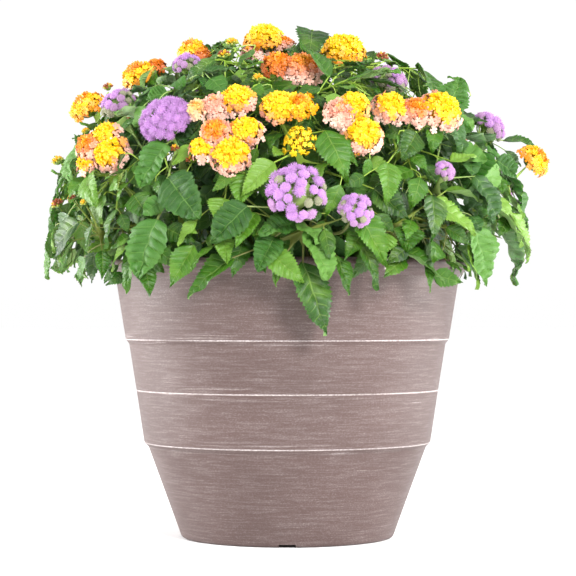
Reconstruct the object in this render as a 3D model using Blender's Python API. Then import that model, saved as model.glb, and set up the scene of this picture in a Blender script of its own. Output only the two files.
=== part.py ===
"""Lantana and ageratum in a stepped, whitewashed resin planter.

Metres, +Z up, the front towards -Y. The origin is the middle of the pot's foot, on the ground.
Each leafy stem is one object with its leaves, stalks and buds, each bloom or touching group of blooms is another,
and the stems stand in plain square holes in the potting mix.
"""

import math
import random
from dataclasses import dataclass, field

import bmesh
import bpy
from mathutils import Matrix, Vector
from mathutils.bvhtree import BVHTree

UP = Vector((0, 0, 1))

# How the photograph was taken: where it puts a point of the object
EYE_DISTANCE = 2.204
EYE_HEIGHT = 0.234
METRES_PER_PIXEL = 0.0010526
AXIS_COLUMN = 287.3
HORIZON_ROW = 313.5

# The pot
POT_SIDES = 32
POT_HEIGHT = 0.290
RIM_RADIUS = 0.190
NECK_RADIUS = 0.180
NECK_HEIGHT = 0.272
FOOT_RADIUS = 0.1105
FLOOR_TOP = 0.010
WALL = 0.0045
STEP_HEIGHTS = (0.0975, 0.152, 0.205)
STEP_RADII = (0.1500, 0.1582, 0.1695)
STEP_DEPTHS = (0.0045, 0.0007, 0.0036)
STEP_SLOPE = 0.0045
DRAIN_RADIUS = 0.006
DRAIN_RING = 0.060
NOTCH_LENGTH = 0.022
NOTCH_WIDTH = 0.017
NOTCH_HEIGHT = 0.0032
FOOT_HOLES = 4

# The potting mix
SOIL_TOP = 0.262
SOIL_MOUND = 0.010
SEAT_GAP = 0.0004
# The straight foot of each stem: its whole length, and what shows above the soil
STEM_FOOT = 0.033
FOOT_SHOWING = 0.004
ROOT_SPACING = 0.024
ROOT_REACH = 0.128

# The crown that the plants fill, half an ellipsoid over a skirt that hangs past the rim
CROWN_BASE = 0.300
CROWN_X = 0.252
CROWN_Y = 0.226
CROWN_TOP = 0.226
SKIRT_LOW = 0.200
SKIRT_RADIUS = 0.203

# Stems and leaves
STEM_RADIUS = {"lantana": 0.0026, "ageratum": 0.0029}
TIP_RADIUS = 0.0013
STALK_RADIUS = 0.0011
PETIOLE_RADIUS = 0.0008
ROOT_DEPTH = 0.0010
CLEAR_OF_STEM = 0.0035
SHORTEST_EDGE = 0.0009
# A fork lies this deep under the heads that its stalks reach, and this much lower
FORK_DEPTH = 0.022
FORK_DROP = 0.006
# How far ahead of its end a branch or a stalk turns to meet the bloom squarely
ARRIVAL = 0.025
STALK_ARRIVAL = 0.010
STALK_STUB = 0.005
SIDE_LIFT = 0.020
HANGING_REACH = 0.90
HANGING_LIFT = 0.012
# What keeps a side branch's corners off its parent's
OFF_CENTRE = Vector((0.0003, -0.0002, 0.0004))
# How much further from the straight way each new attempt at a branch may go
WANDER_STEP = 0.0012
FORK_STEP = 0.0005
MOST_TRIES = 80
SMALLEST_FACE = 2e-8
RIB_THICKNESS = 0.0016
LEAF_SIZES = (0.056, 0.074)
LEAF_WIDTHS = {"lantana": 0.56, "ageratum": 0.76}
LONGEST_PETIOLE = 0.080
# How far before a head, and how much of its own length beside one, a leaf would still hide it
LONGEST_SHADE = 0.150
LEAF_SHADE = 0.20
# Leaves that close the crown, by layer: share of the way out, lowest and highest, how many
LEAF_LAYERS = ((0.98, 0.286, 0.512, 98), (0.84, 0.300, 0.490, 46))

# One side of a blade as (distance from the petiole, half-width), both as shares of the blade's own size
OUTLINES = {
    ("lantana", "large"): ((0.03, 0.05), (0.22, 0.86), (0.40, 1.0), (0.46, 0.84), (0.66, 0.70), (0.72, 0.50)),
    ("ageratum", "large"): ((0.03, 0.06), (0.12, 0.84), (0.38, 1.0), (0.45, 0.90), (0.70, 0.74), (0.76, 0.58)),
    ("lantana", "small"): ((0.03, 0.06), (0.24, 0.92), (0.46, 1.0), (0.52, 0.80), (0.74, 0.54)),
    ("ageratum", "small"): ((0.03, 0.07), (0.14, 0.88), (0.46, 1.0), (0.53, 0.86), (0.78, 0.62)),
}
RIB_STATIONS = (0.03, 0.48)

# Lantana blooms that the photograph shows, in the groups that touch:
# share of the way out to the crown's face, then column, row and radius in the photograph, and colouring
LANTANA_SEEN = {
    "left_front": (1.00, ((112, 155, 17, "yellow_pink"), (106, 130, 13, "yellow_pink"),
                          (87, 151, 14, "orange_pink"), (84, 173, 9, "yellow_pink"))),
    "middle_low": (1.00, ((232, 155, 18, "yellow_pink"), (246, 132, 14, "yellow_pink"),
                          (213, 130, 14, "orange_pink"), (202, 150, 11, "yellow_pink"))),
    "middle_high": (0.96, ((238, 101, 15, "yellow_pink"), (215, 108, 13, "pink"), (195, 111, 10, "cream"))),
    "centre": (0.98, ((278, 107, 15, "yellow"), (302, 107, 13, "orange"))),
    "centre_low": (0.96, ((300, 142, 14, "loose"),)),
    "centre_right": (1.00, ((362, 136, 17, "yellow_pink"), (332, 105, 15, "orange_pink"),
                            (354, 106, 13, "yellow"), (341, 122, 11, "pink"))),
    "right_front": (1.00, ((440, 112, 19, "yellow_pink"), (412, 113, 14, "orange_pink"),
                           (387, 109, 16, "yellow_pink"))),
    "left_high": (0.85, ((88, 108, 16, "orange_yellow"),)),
    "left_top": (0.70, ((140, 78, 17, "orange_yellow"), (163, 65, 10, "orange"))),
    "top_left": (0.55, ((192, 52, 13, "orange_yellow"), (210, 60, 9, "orange"))),
    "top": (0.10, ((264, 41, 18, "yellow_orange"), (288, 48, 10, "orange_pink"), (249, 60, 12, "pink"))),
    "top_middle": (0.75, ((303, 71, 18, "orange_pink"), (278, 66, 14, "orange"))),
    "top_right": (0.35, ((343, 53, 20, "yellow_orange"),)),
    "far_right": (0.30, ((533, 161, 15, "orange_yellow"),)),
}
SMALL_HEAD = 0.0140
MEETING_FACES = 10
# How far a head reaches behind its middle, as a share of its radius
LANTANA_DEPTH = 0.42
AGERATUM_HEIGHT = 0.70
AGERATUM_REACH = 1.36
AGERATUM_DEPTH = 0.7947 * AGERATUM_HEIGHT / AGERATUM_REACH
LARGE_HEAD = 0.026
LARGE_REACH = 1.26
LARGE_DEPTH = 0.96 * AGERATUM_HEIGHT / LARGE_REACH
COLOURINGS = ("yellow_pink", "orange_yellow", "orange_pink", "yellow")
# Lantana blooms behind: bearing from the front and lift of each group's middle in degrees, and its bloom radii
LANTANA_BEHIND = {
    "back_right": (118, 38, (0.018, 0.015, 0.013)),
    "back_middle_right": (158, 24, (0.019, 0.014)),
    "back_top": (172, 58, (0.018, 0.015, 0.012)),
    "back_middle_left": (205, 30, (0.019, 0.015, 0.013)),
    "back_left": (246, 36, (0.018, 0.014)),
}
# Ageratum heads that the photograph shows: share of the way out, column, row and radius
AGERATUM_SEEN = {
    "a_left": (0.90, 119, 106, 20),
    "a_left_middle": (0.97, 167, 122, 27),
    "a_top_left": (0.72, 187, 66, 16),
    "a_front": (1.03, 297, 195, 30),
    "a_front_right": (1.03, 355, 211, 18),
    "a_top_right": (0.66, 388, 82, 21),
    "a_right": (0.78, 487, 129, 20),
    "a_right_low": (0.93, 444, 172, 12),
}
AGERATUM_BEHIND = {
    "a_back_right": (100, 20, 0.025),
    "a_back": (182, 12, 0.028),
    "a_back_left": (225, 52, 0.024),
}

# Leafy stems: kind, the blooms that they carry, and the bearings at which side branches hang over the rim
STEMS = {
    "lantana_stem_left_front": ("lantana", ("left_front",), (-58,)),
    "lantana_stem_left_high": ("lantana", ("left_high",), (-84,)),
    "lantana_stem_left_top": ("lantana", ("left_top",), ()),
    "lantana_stem_top_left": ("lantana", ("top_left",), ()),
    "lantana_stem_top": ("lantana", ("top", "top_middle"), ()),
    "lantana_stem_top_right": ("lantana", ("top_right",), ()),
    "lantana_stem_middle_low": ("lantana", ("middle_low",), (-31,)),
    "lantana_stem_middle_high": ("lantana", ("middle_high",), ()),
    "lantana_stem_centre": ("lantana", ("centre",), ()),
    "lantana_stem_centre_low": ("lantana", ("centre_low",), (4,)),
    "lantana_stem_centre_right": ("lantana", ("centre_right",), (27,)),
    "lantana_stem_right_front": ("lantana", ("right_front",), (52,)),
    "lantana_stem_far_right": ("lantana", ("far_right",), (86,)),
    "lantana_stem_back_right": ("lantana", ("back_right",), (118,)),
    "lantana_stem_back_middle_right": ("lantana", ("back_middle_right",), (150,)),
    "lantana_stem_back_top": ("lantana", ("back_top",), ()),
    "lantana_stem_back_middle_left": ("lantana", ("back_middle_left",), (208,)),
    "lantana_stem_back_left": ("lantana", ("back_left",), (244,)),
    "ageratum_stem_left": ("ageratum", ("a_left",), ()),
    "ageratum_stem_left_middle": ("ageratum", ("a_left_middle",), ()),
    "ageratum_stem_top_left": ("ageratum", ("a_top_left",), ()),
    "ageratum_stem_front": ("ageratum", ("a_front", "a_front_right"), ()),
    "ageratum_stem_top_right": ("ageratum", ("a_top_right",), ()),
    "ageratum_stem_right": ("ageratum", ("a_right", "a_right_low"), ()),
    "ageratum_stem_back_right": ("ageratum", ("a_back_right",), ()),
    "ageratum_stem_back": ("ageratum", ("a_back",), (178,)),
    "ageratum_stem_back_left": ("ageratum", ("a_back_left",), ()),
}

# Leaves that the photograph shows well: kind, column and row of the petiole's end and of the tip, and width in pixels
LEAVES_SEEN = (
    ("lantana", 302, 261, 327, 336, 34),
    ("lantana", 234, 257, 187, 299, 25),
    ("lantana", 224, 236, 227, 264, 19),
    ("lantana", 256, 212, 235, 248, 23),
    ("ageratum", 275, 236, 257, 272, 31),
    ("ageratum", 296, 222, 258, 234, 26),
    ("ageratum", 309, 228, 328, 281, 36),
    ("ageratum", 322, 182, 344, 203, 28),
    ("lantana", 279, 262, 276, 287, 9),
    ("lantana", 246, 173, 239, 208, 27),
    ("lantana", 225, 198, 216, 223, 28),
    ("lantana", 165, 228, 196, 242, 20),
    ("lantana", 117, 208, 104, 249, 14),
    ("lantana", 194, 245, 169, 288, 27),
    ("lantana", 145, 265, 150, 297, 16),
    ("lantana", 133, 250, 126, 294, 18),
    ("lantana", 133, 194, 151, 220, 26),
    ("lantana", 138, 159, 160, 190, 25),
    ("lantana", 102, 250, 102, 280, 12),
    ("lantana", 92, 226, 84, 262, 14),
    ("lantana", 76, 210, 67, 236, 18),
    ("lantana", 72, 240, 60, 271, 10),
    ("lantana", 70, 168, 56, 196, 12),
    ("lantana", 337, 255, 350, 295, 17),
    ("lantana", 361, 242, 378, 291, 19),
    ("lantana", 385, 232, 379, 258, 26),
    ("lantana", 409, 226, 407, 252, 30),
    ("lantana", 403, 251, 446, 285, 17),
    ("lantana", 424, 262, 430, 293, 12),
    ("lantana", 366, 228, 344, 260, 22),
    ("lantana", 373, 188, 411, 221, 28),
    ("lantana", 413, 170, 375, 186, 21),
    ("ageratum", 366, 163, 364, 190, 24),
    ("lantana", 430, 200, 477, 235, 27),
    ("lantana", 446, 227, 472, 246, 17),
    ("lantana", 476, 220, 496, 242, 20),
    ("lantana", 497, 207, 523, 247, 18),
    ("lantana", 500, 177, 503, 196, 14),
    ("ageratum", 496, 160, 517, 178, 28),
    ("ageratum", 484, 150, 466, 192, 34),
    ("lantana", 450, 161, 477, 156, 14),
    ("lantana", 446, 190, 486, 201, 13),
    ("ageratum", 447, 111, 462, 77, 36),
    ("lantana", 469, 240, 478, 290, 20),
    ("lantana", 440, 240, 457, 277, 18),
    ("lantana", 239, 68, 257, 84, 22),
    ("lantana", 253, 113, 274, 97, 17),
    ("ageratum", 168, 92, 146, 99, 22),
    ("ageratum", 204, 72, 236, 70, 20),
    ("lantana", 330, 77, 298, 40, 22),
    ("lantana", 346, 80, 401, 71, 17),
    ("lantana", 320, 87, 291, 98, 16),
)

# Small unopened or faded heads that the photograph shows: column, row and radius in pixels
BUDS_SEEN = (
    (108, 88, 6), (86, 132, 5), (58, 162, 7), (58, 205, 7), (72, 199, 5), (85, 203, 5), (232, 44, 7), (224, 56, 7),
    (190, 160, 5), (175, 149, 5), (164, 155, 5), (382, 58, 7), (340, 162, 5), (356, 155, 4), (258, 79, 6),
)
BUDS_BEHIND = ((96, 44, 0.007), (140, 46, 0.007), (186, 36, 0.007), (222, 22, 0.007), (262, 20, 0.006))


@dataclass
class Leaf:
    """A blade and its petiole: from the stem at root to the blade at base, then along, with its upper side up."""

    kind: str
    root: Vector
    base: Vector
    along: Vector
    up: Vector
    length: float
    width: float
    arch: float
    fold: float
    detail: str


@dataclass
class Bloom:
    """A flower head: its middle, the way that it faces, its radius and its colouring."""

    centre: Vector
    facing: Vector
    radius: float
    colouring: str


@dataclass
class Stem:
    """A leafy stem: where it roots, the lines of its branches and stalks, and what grows on them."""

    name: str
    kind: str
    root: Vector
    branches: list = field(default_factory=list)
    stalks: list = field(default_factory=list)
    leaves: list = field(default_factory=list)
    buds: list = field(default_factory=list)
    segments: list = field(default_factory=list)


def from_photo(column, row, depth):
    """The point that the photograph shows at this column and row, at this depth behind the pot's axis."""
    scale = METRES_PER_PIXEL * (EYE_DISTANCE + depth) / EYE_DISTANCE
    return Vector(((column - AXIS_COLUMN) * scale, depth, EYE_HEIGHT + (HORIZON_ROW - row) * scale))


def crown_scale(height):
    """How wide the crown is at this height, as a share of its widest."""
    if height >= CROWN_BASE:
        return math.sqrt(max(0.0, 1 - ((height - CROWN_BASE) / CROWN_TOP) ** 2))
    drop = (CROWN_BASE - height) / (CROWN_BASE - SKIRT_LOW)
    return 1 - (1 - SKIRT_RADIUS / CROWN_Y) * min(drop, 1.0)


def seen_at(column, row, share):
    """The point shown at this column and row, this share of the way from the axis out to the crown's front face."""
    depth = -CROWN_Y * share
    for _ in range(6):
        point = from_photo(column, row, depth)
        wide = crown_scale(point.z)
        across = min(abs(point.x) / max(CROWN_X * wide, 1e-6), 1.0)
        depth = -CROWN_Y * wide * math.sqrt(1 - across * across) * share
    return from_photo(column, row, depth)


def crown_point(bearing, lift, share=1.0):
    """A point of the crown: bearing 0 is the front and 90 the right, lift is above the crown's base, in degrees."""
    return crown_at(bearing, CROWN_BASE + share * CROWN_TOP * math.sin(math.radians(lift)), share)


def crown_at(bearing, height, share=1.0):
    """A point of the crown at this bearing and height, this share of the way out from the axis."""
    turn = math.radians(bearing)
    wide = share * crown_scale(CROWN_BASE + (height - CROWN_BASE) / share if height > CROWN_BASE else height)
    return Vector((CROWN_X * wide * math.sin(turn), -CROWN_Y * wide * math.cos(turn), height))


def outward(point):
    """The way out of the crown at a point."""
    return Vector((
        point.x / CROWN_X ** 2, point.y / CROWN_Y ** 2, max(point.z - CROWN_BASE, 0.0) / CROWN_TOP ** 2 + 1e-6,
    )).normalized()


def square_to(direction, axis):
    """Direction with its share along axis taken out."""
    flat = direction - axis * direction.dot(axis)
    return flat.normalized() if flat.length > 1e-6 else axis.orthogonal().normalized()


def curve_through(start, leave, end, arrive, count):
    """Points of one smooth curve from start, leaving along one vector and arriving along another."""
    points = []
    for i in range(count + 1):
        t = i / count
        points.append(
            start * (1 - t) ** 3 + (start + leave) * (3 * t * (1 - t) ** 2)
            + (end - arrive) * (3 * t * t * (1 - t)) + end * t ** 3
        )
    return points


def frames(points):
    """The way ahead and one side of a tube at each of its points, turning as little as it can."""
    found = []
    side = square_to(Vector((1, 0, 0)), (points[1] - points[0]).normalized())
    for i in range(len(points)):
        ahead = (points[min(i + 1, len(points) - 1)] - points[max(i - 1, 0)]).normalized()
        side = square_to(side, ahead)
        found.append((ahead, side))
    return found


def tube(points, radii, sides, turn=0.0):
    """A closed tube along points, as vertices and faces."""
    vertices, faces = [], []
    for point, radius, (ahead, side) in zip(points, radii, frames(points)):
        other = ahead.cross(side)
        for k in range(sides):
            angle = turn + math.tau * k / sides
            vertices.append(point + (side * math.cos(angle) + other * math.sin(angle)) * radius)
    for i in range(len(points) - 1):
        for k in range(sides):
            a, b = i * sides + k, i * sides + (k + 1) % sides
            faces.append((a, b, b + sides, a + sides))
    faces.append(tuple(reversed(range(sides))))
    faces.append(tuple(range(len(vertices) - sides, len(vertices))))
    return vertices, faces


def blade_point(leaf, u, across, lift=0.0):
    """A point of a blade: u is 0 at the petiole's end and 1 at the tip, across and lift are in metres."""
    angle = leaf.arch * u
    if abs(leaf.arch) < 1e-4:
        forward, fall = leaf.length * u, 0.0
    else:
        bend_radius = leaf.length / leaf.arch
        forward, fall = bend_radius * math.sin(angle), bend_radius * (1 - math.cos(angle))
    up_here = leaf.up * math.cos(angle) + leaf.along * math.sin(angle)
    side = leaf.along.cross(leaf.up)
    return (
        leaf.base + leaf.along * forward - leaf.up * fall
        + side * (across * math.cos(leaf.fold)) + up_here * (abs(across) * math.sin(leaf.fold) + lift)
    )


def zip_faces(rim, rib, stations_rim, stations_rib):
    """Triangles between a blade's rim and its rib, both from the petiole to the tip that they share."""
    faces, i, j = [], 0, 0
    while i < len(rim) - 1 or j < len(rib) - 1:
        step_rim = j == len(rib) - 1 or (i < len(rim) - 1 and stations_rim[i + 1] <= stations_rib[j + 1])
        if i == len(rim) - 2 and j == len(rib) - 2:
            faces.append((rim[i], rib[j], rim[i + 1]))
            break
        if step_rim:
            faces.append((rim[i], rib[j], rim[i + 1]))
            i += 1
        else:
            faces.append((rim[i], rib[j], rib[j + 1]))
            j += 1
    return faces


def blade(leaf, start=0.0):
    """A leaf as one closed solid, toothed and thickest along its rib, its petiole cut off this far from the root."""
    outline = OUTLINES[leaf.kind, leaf.detail]
    half = leaf.width / 2
    ahead = (leaf.base - leaf.root).normalized()
    root = leaf.root + ahead * start
    side = square_to(leaf.along.cross(leaf.up), ahead)
    top = side.cross(ahead)
    vertices = [
        root + side * PETIOLE_RADIUS, root - side * PETIOLE_RADIUS, root + top * PETIOLE_RADIUS,
        root - top * PETIOLE_RADIUS, blade_point(leaf, 1.0, 0.0),
    ]
    rims = []
    for sign in (1, -1):
        rim = [0 if sign == 1 else 1]
        for u, share in outline:
            rim.append(len(vertices))
            vertices.append(blade_point(leaf, u, sign * share * half))
        rim.append(4)
        rims.append(rim)
    ribs = []
    for sign in (1, -1):
        rib = [2 if sign == 1 else 3]
        for u in RIB_STATIONS:
            rib.append(len(vertices))
            vertices.append(blade_point(leaf, u, 0.0, sign * RIB_THICKNESS / 2))
        rib.append(4)
        ribs.append(rib)
    stations_rim = (-0.2, *(u for u, _ in outline), 1.0)
    stations_rib = (-0.2, *RIB_STATIONS, 1.0)
    faces = []
    for flip_side, rim in enumerate(rims):
        for flip_face, rib in enumerate(ribs):
            made = zip_faces(rim, rib, stations_rim, stations_rib)
            faces += made if flip_side != flip_face else [face[::-1] for face in made]
    faces.append((0, 3, 1, 2))
    return vertices, faces


def lantana_dome(bloom):
    """A lantana head: tiers of petal lobes round a domed middle, each tier set between the lobes of the next."""
    small = bloom.radius < SMALL_HEAD
    lobes = 5 if small else 6
    tiers = (0.62, 1.45) if small else (0.50, 1.10, 1.68)
    side = square_to(Vector((1, 0, 0)), bloom.facing)
    other = bloom.facing.cross(side)
    vertices = [bloom.centre + bloom.facing * bloom.radius * 0.78]
    for tier, polar in enumerate(tiers):
        for k in range(2 * lobes):
            tip = k % 2 == 0
            angle = math.pi * (k + 0.5 * tier) / lobes
            reach = bloom.radius * (1.0 if tip else 0.70)
            lean = polar if tip else polar + 0.10
            vertices.append(
                bloom.centre + bloom.facing * (reach * math.cos(lean) * 0.85)
                + (side * math.cos(angle) + other * math.sin(angle)) * (reach * math.sin(lean))
            )
    vertices.append(bloom.centre - bloom.facing * bloom.radius * 0.42)
    ring = 2 * lobes
    faces = [(0, 1 + k, 1 + (k + 1) % ring) for k in range(ring)]
    for tier in range(len(tiers) - 1):
        for k in range(ring):
            a, b = 1 + tier * ring + k, 1 + tier * ring + (k + 1) % ring
            faces += [(a, a + ring, b), (b, a + ring, b + ring)]
    last = len(vertices) - 1
    faces += [(last - ring + k, last, last - ring + (k + 1) % ring) for k in range(ring)]
    return vertices, faces


def bud_knob(centre, facing, radius):
    """A bud: a small cup of four lobes."""
    side = square_to(Vector((1, 0, 0)), facing)
    other = facing.cross(side)
    vertices = [centre + facing * radius * 0.55]
    for k in range(8):
        reach = radius * (1.0 if k % 2 == 0 else 0.66)
        angle = math.tau * k / 8
        rise = facing * (radius * (0.35 if k % 2 == 0 else 0.1))
        vertices.append(centre + rise + (side * math.cos(angle) + other * math.sin(angle)) * reach)
    vertices.append(centre - facing * radius * 0.8)
    faces = [(0, 1 + k, 1 + (k + 1) % 8) for k in range(8)]
    faces += [(1 + k, 9, 1 + (k + 1) % 8) for k in range(8)]
    return vertices, faces


def ageratum_dome(bloom):
    """An ageratum head: a flattened dome of tufts, each raised from one face of the dual of an icosphere."""
    large = bloom.radius > LARGE_HEAD
    sphere = bmesh.new()
    bmesh.ops.create_icosphere(sphere, subdivisions=2 if large else 1, radius=1.0)
    sphere.faces.index_update()
    dome = bmesh.new()
    corners = [dome.verts.new(face.calc_center_median().normalized()) for face in sphere.faces]
    for vertex in sphere.verts:
        axis = vertex.co.normalized()
        side = square_to(Vector((1, 0.1, 0)), axis)
        other = axis.cross(side)
        around = sorted(
            (corners[face.index] for face in vertex.link_faces),
            key=lambda corner: math.atan2(corner.co.dot(other), corner.co.dot(side)),
        )
        dome.faces.new(around)
    sphere.free()
    dome.normal_update()
    raised = [face for face in dome.faces if face.normal.z > -0.8]
    rng = random.Random(round(bloom.radius * 1e5))
    if not large:
        for face in raised:
            bmesh.ops.inset_individual(dome, faces=[face], thickness=0.12, depth=rng.uniform(0.36, 0.50))
            middle = face.calc_center_median()
            for vertex in face.verts:
                vertex.co = middle + (vertex.co - middle) * 1.30
    bmesh.ops.poke(dome, faces=raised, offset=0.34 if large else 0.24)
    bmesh.ops.triangulate(dome, faces=dome.faces)
    side = square_to(Vector((1, 0, 0)), bloom.facing)
    other = bloom.facing.cross(side)
    size = bloom.radius / (LARGE_REACH if large else AGERATUM_REACH)
    dome.verts.index_update()
    vertices = [
        bloom.centre + (side * v.co.x + other * v.co.y + bloom.facing * v.co.z * AGERATUM_HEIGHT) * size
        for v in dome.verts
    ]
    faces = [tuple(vertex.index for vertex in face.verts) for face in dome.faces]
    dome.free()
    return vertices, faces


def crosses_itself(shape):
    """Whether a shape's faces cross where they don't meet."""
    vertices, faces = shape
    tree = BVHTree.FromPolygons(vertices, faces)
    return any(a < b and not set(faces[a]) & set(faces[b]) for a, b in tree.overlap(tree))


class Crowd:
    """The solids placed so far, each with its owner, to keep what is placed next clear of the other owners'."""

    def __init__(self):
        self.placed = []
        self.last_hit = None

    @staticmethod
    def box(vertices):
        low = Vector(min(v[i] for v in vertices) for i in range(3))
        high = Vector(max(v[i] for v in vertices) for i in range(3))
        return low, high

    def hits(self, shape, owner, own_too=False):
        """Whether a shape crosses what another owner has placed."""
        low, high = self.box(shape[0])
        tree = None
        for other, other_low, other_high, other_tree in self.placed:
            if other == owner and not own_too:
                continue
            if any(low[i] > other_high[i] or high[i] < other_low[i] for i in range(3)):
                continue
            tree = tree or BVHTree.FromPolygons(*shape)
            if tree.overlap(other_tree):
                self.last_hit = other
                return True
        return False

    def add(self, shape, owner):
        self.placed.append((owner, *self.box(shape[0]), BVHTree.FromPolygons(*shape)))


def gather(heads):
    """Draws the heads of a group together until each one sinks a little into another."""
    for i, bloom in enumerate(heads[1:], 1):
        nearest = min(heads[:i], key=lambda other: (other.centre - bloom.centre).length - other.radius)
        met = BVHTree.FromPolygons(*bloom_shape(nearest))
        while len(BVHTree.FromPolygons(*bloom_shape(bloom)).overlap(met)) < MEETING_FACES:
            bloom.centre = bloom.centre.lerp(nearest.centre, 0.03)


def spread(groups):
    """Moves whole groups of blooms apart along the crown until none crosses another."""
    crowd = Crowd()
    for name, heads in groups.items():
        shapes = [bloom_shape(bloom) for bloom in heads]
        while any(crowd.hits(shape, name) for shape in shapes):
            middle = sum((bloom.centre for bloom in heads), Vector()) / len(heads)
            away = middle - groups[crowd.last_hit][0].centre
            push = (square_to(away, outward(middle)) - outward(middle) * 0.3) * 0.0015
            for bloom in heads:
                bloom.centre = bloom.centre + push
            shapes = [bloom_shape(bloom) for bloom in heads]
        for shape in shapes:
            crowd.add(shape, name)


def lay_out_blooms():
    """Every bloom by the name of its group."""
    groups = {}
    rng = random.Random(11)
    for name, (share, heads) in LANTANA_SEEN.items():
        groups[name] = []
        middle = sum(seen_at(column, row, share).y for column, row, _, _ in heads) / len(heads)
        for column, row, pixels, colouring in heads:
            depth = (seen_at(column, row, share).y + 2 * middle) / 3
            centre = from_photo(column, row, depth)
            facing = (outward(centre) * 0.85 + UP * 0.25 - Vector((0, 0.30, 0))).normalized()
            groups[name].append(Bloom(centre, facing, pixels * METRES_PER_PIXEL, colouring))
    for name, (bearing, lift, radii) in LANTANA_BEHIND.items():
        groups[name] = []
        middle = crown_point(bearing, lift, 0.97)
        side = square_to(UP.cross(middle), outward(middle))
        above = outward(middle).cross(side)
        for i, radius in enumerate(radii):
            angle = 2.2 * i + rng.uniform(-0.3, 0.3)
            centre = middle + (side * math.cos(angle) + above * math.sin(angle)) * 0.0145
            facing = (outward(centre) * 0.75 + UP * 0.45).normalized()
            groups[name].append(Bloom(centre, facing, radius, rng.choice(COLOURINGS)))
    for name, (share, column, row, pixels) in AGERATUM_SEEN.items():
        centre = seen_at(column, row, share)
        facing = (outward(centre) * 0.9 + UP * 0.35).normalized()
        groups[name] = [Bloom(centre, facing, pixels * METRES_PER_PIXEL, "violet")]
    for name, (bearing, lift, radius) in AGERATUM_BEHIND.items():
        centre = crown_point(bearing, lift, 0.97)
        facing = (outward(centre) * 0.9 + UP * 0.35).normalized()
        groups[name] = [Bloom(centre, facing, radius, "violet")]
    for heads in groups.values():
        gather(heads)
    spread(groups)
    return groups


def root_places(groups):
    """Where each stem enters the soil: under its blooms, nearer the middle, and apart from the others."""
    places = {}
    for name, (_, blooms, _) in STEMS.items():
        heads = [bloom.centre for group in blooms for bloom in groups[group]]
        middle = sum(heads, Vector()) / len(heads)
        places[name] = Vector((middle.x, middle.y, 0)) * 0.52
    names = list(places)
    for _ in range(60):
        for i, a in enumerate(names):
            for b in names[i + 1:]:
                apart = places[a] - places[b]
                if apart.length < ROOT_SPACING:
                    push = apart.normalized() if apart.length > 1e-6 else Vector((1, 0, 0))
                    places[a] += push * (ROOT_SPACING - apart.length) * 0.5
                    places[b] -= push * (ROOT_SPACING - apart.length) * 0.5
        for name in names:
            if places[name].length > ROOT_REACH:
                places[name] = places[name].normalized() * ROOT_REACH
    return {name: Vector((round(p.x, 4), round(p.y, 4), 0)) for name, p in places.items()}


def soil_height(x, y):
    return SOIL_TOP + SOIL_MOUND * max(0.0, 1 - math.hypot(x, y) / 0.15)


def bloom_shape(bloom):
    return ageratum_dome(bloom) if bloom.colouring == "violet" else lantana_dome(bloom)


def foot_of(bloom):
    """The point just under a bloom, where its stalk ends."""
    depth = AGERATUM_DEPTH if bloom.colouring == "violet" else LANTANA_DEPTH
    if bloom.colouring == "violet" and bloom.radius > LARGE_HEAD:
        depth = LARGE_DEPTH
    return bloom.centre - bloom.facing * (bloom.radius * depth + SEAT_GAP)


def tapered(line, first, last):
    return [first + (last - first) * i / (len(line) - 1) for i in range(len(line))]


def heads_to_reach(heads, crowd):
    """The heads of a group that a stalk can reach from below, each with its foot: the others sit in those."""
    reached = []
    for bloom in heads:
        foot = foot_of(bloom)
        stub = tube([foot - bloom.facing * STALK_STUB, foot], [STALK_RADIUS] * 2, 3)
        if not crowd.hits(stub, ""):
            reached.append((bloom, foot))
    return reached


def branch_to_heads(stem, reached, attempt, rng):
    """One branch to a group's heads, with a stalk to each, further from the straight way at each attempt."""
    ground = stem.root + UP * (soil_height(stem.root.x, stem.root.y) + FOOT_SHOWING)
    thick = STEM_RADIUS[stem.kind]
    facing = sum((bloom.facing for bloom, _ in reached), Vector()).normalized()
    wander = Vector((rng.uniform(-1, 1), rng.uniform(-1, 1), 0)) * WANDER_STEP * attempt
    end = sum((foot for _, foot in reached), Vector()) / len(reached)
    if len(reached) > 1:
        end += wander * 0.5 - facing * (FORK_DEPTH + FORK_STEP * attempt) - UP * FORK_DROP
    arrive = (facing + UP) * ARRIVAL + wander
    if stem.branches:
        start = stem.branches[0][0][3] + OFF_CENTRE
        leave = (end - start) * 0.3 + UP * SIDE_LIFT
        line = curve_through(start, leave, end, arrive, 4)
        branch = (line, tapered(line, thick * 0.75, TIP_RADIUS))
    else:
        rise = UP * (end.z - ground.z) * 0.45 + wander
        line = [ground - UP * STEM_FOOT, *curve_through(ground, rise, end, arrive, 4)]
        branch = (line, tapered(line, thick, TIP_RADIUS))
    stalks = []
    for k, (bloom, foot) in enumerate(reached if len(reached) > 1 else ()):
        start = line[-1].lerp(line[-2], 0.10 + 0.20 * k) + OFF_CENTRE * (k + 1)
        bow = curve_through(start, (foot - start) * 0.35, foot, bloom.facing * STALK_ARRIVAL + wander * 0.5, 2)
        stalks.append((bow, [STALK_RADIUS] * 3))
    return branch, stalks


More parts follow.
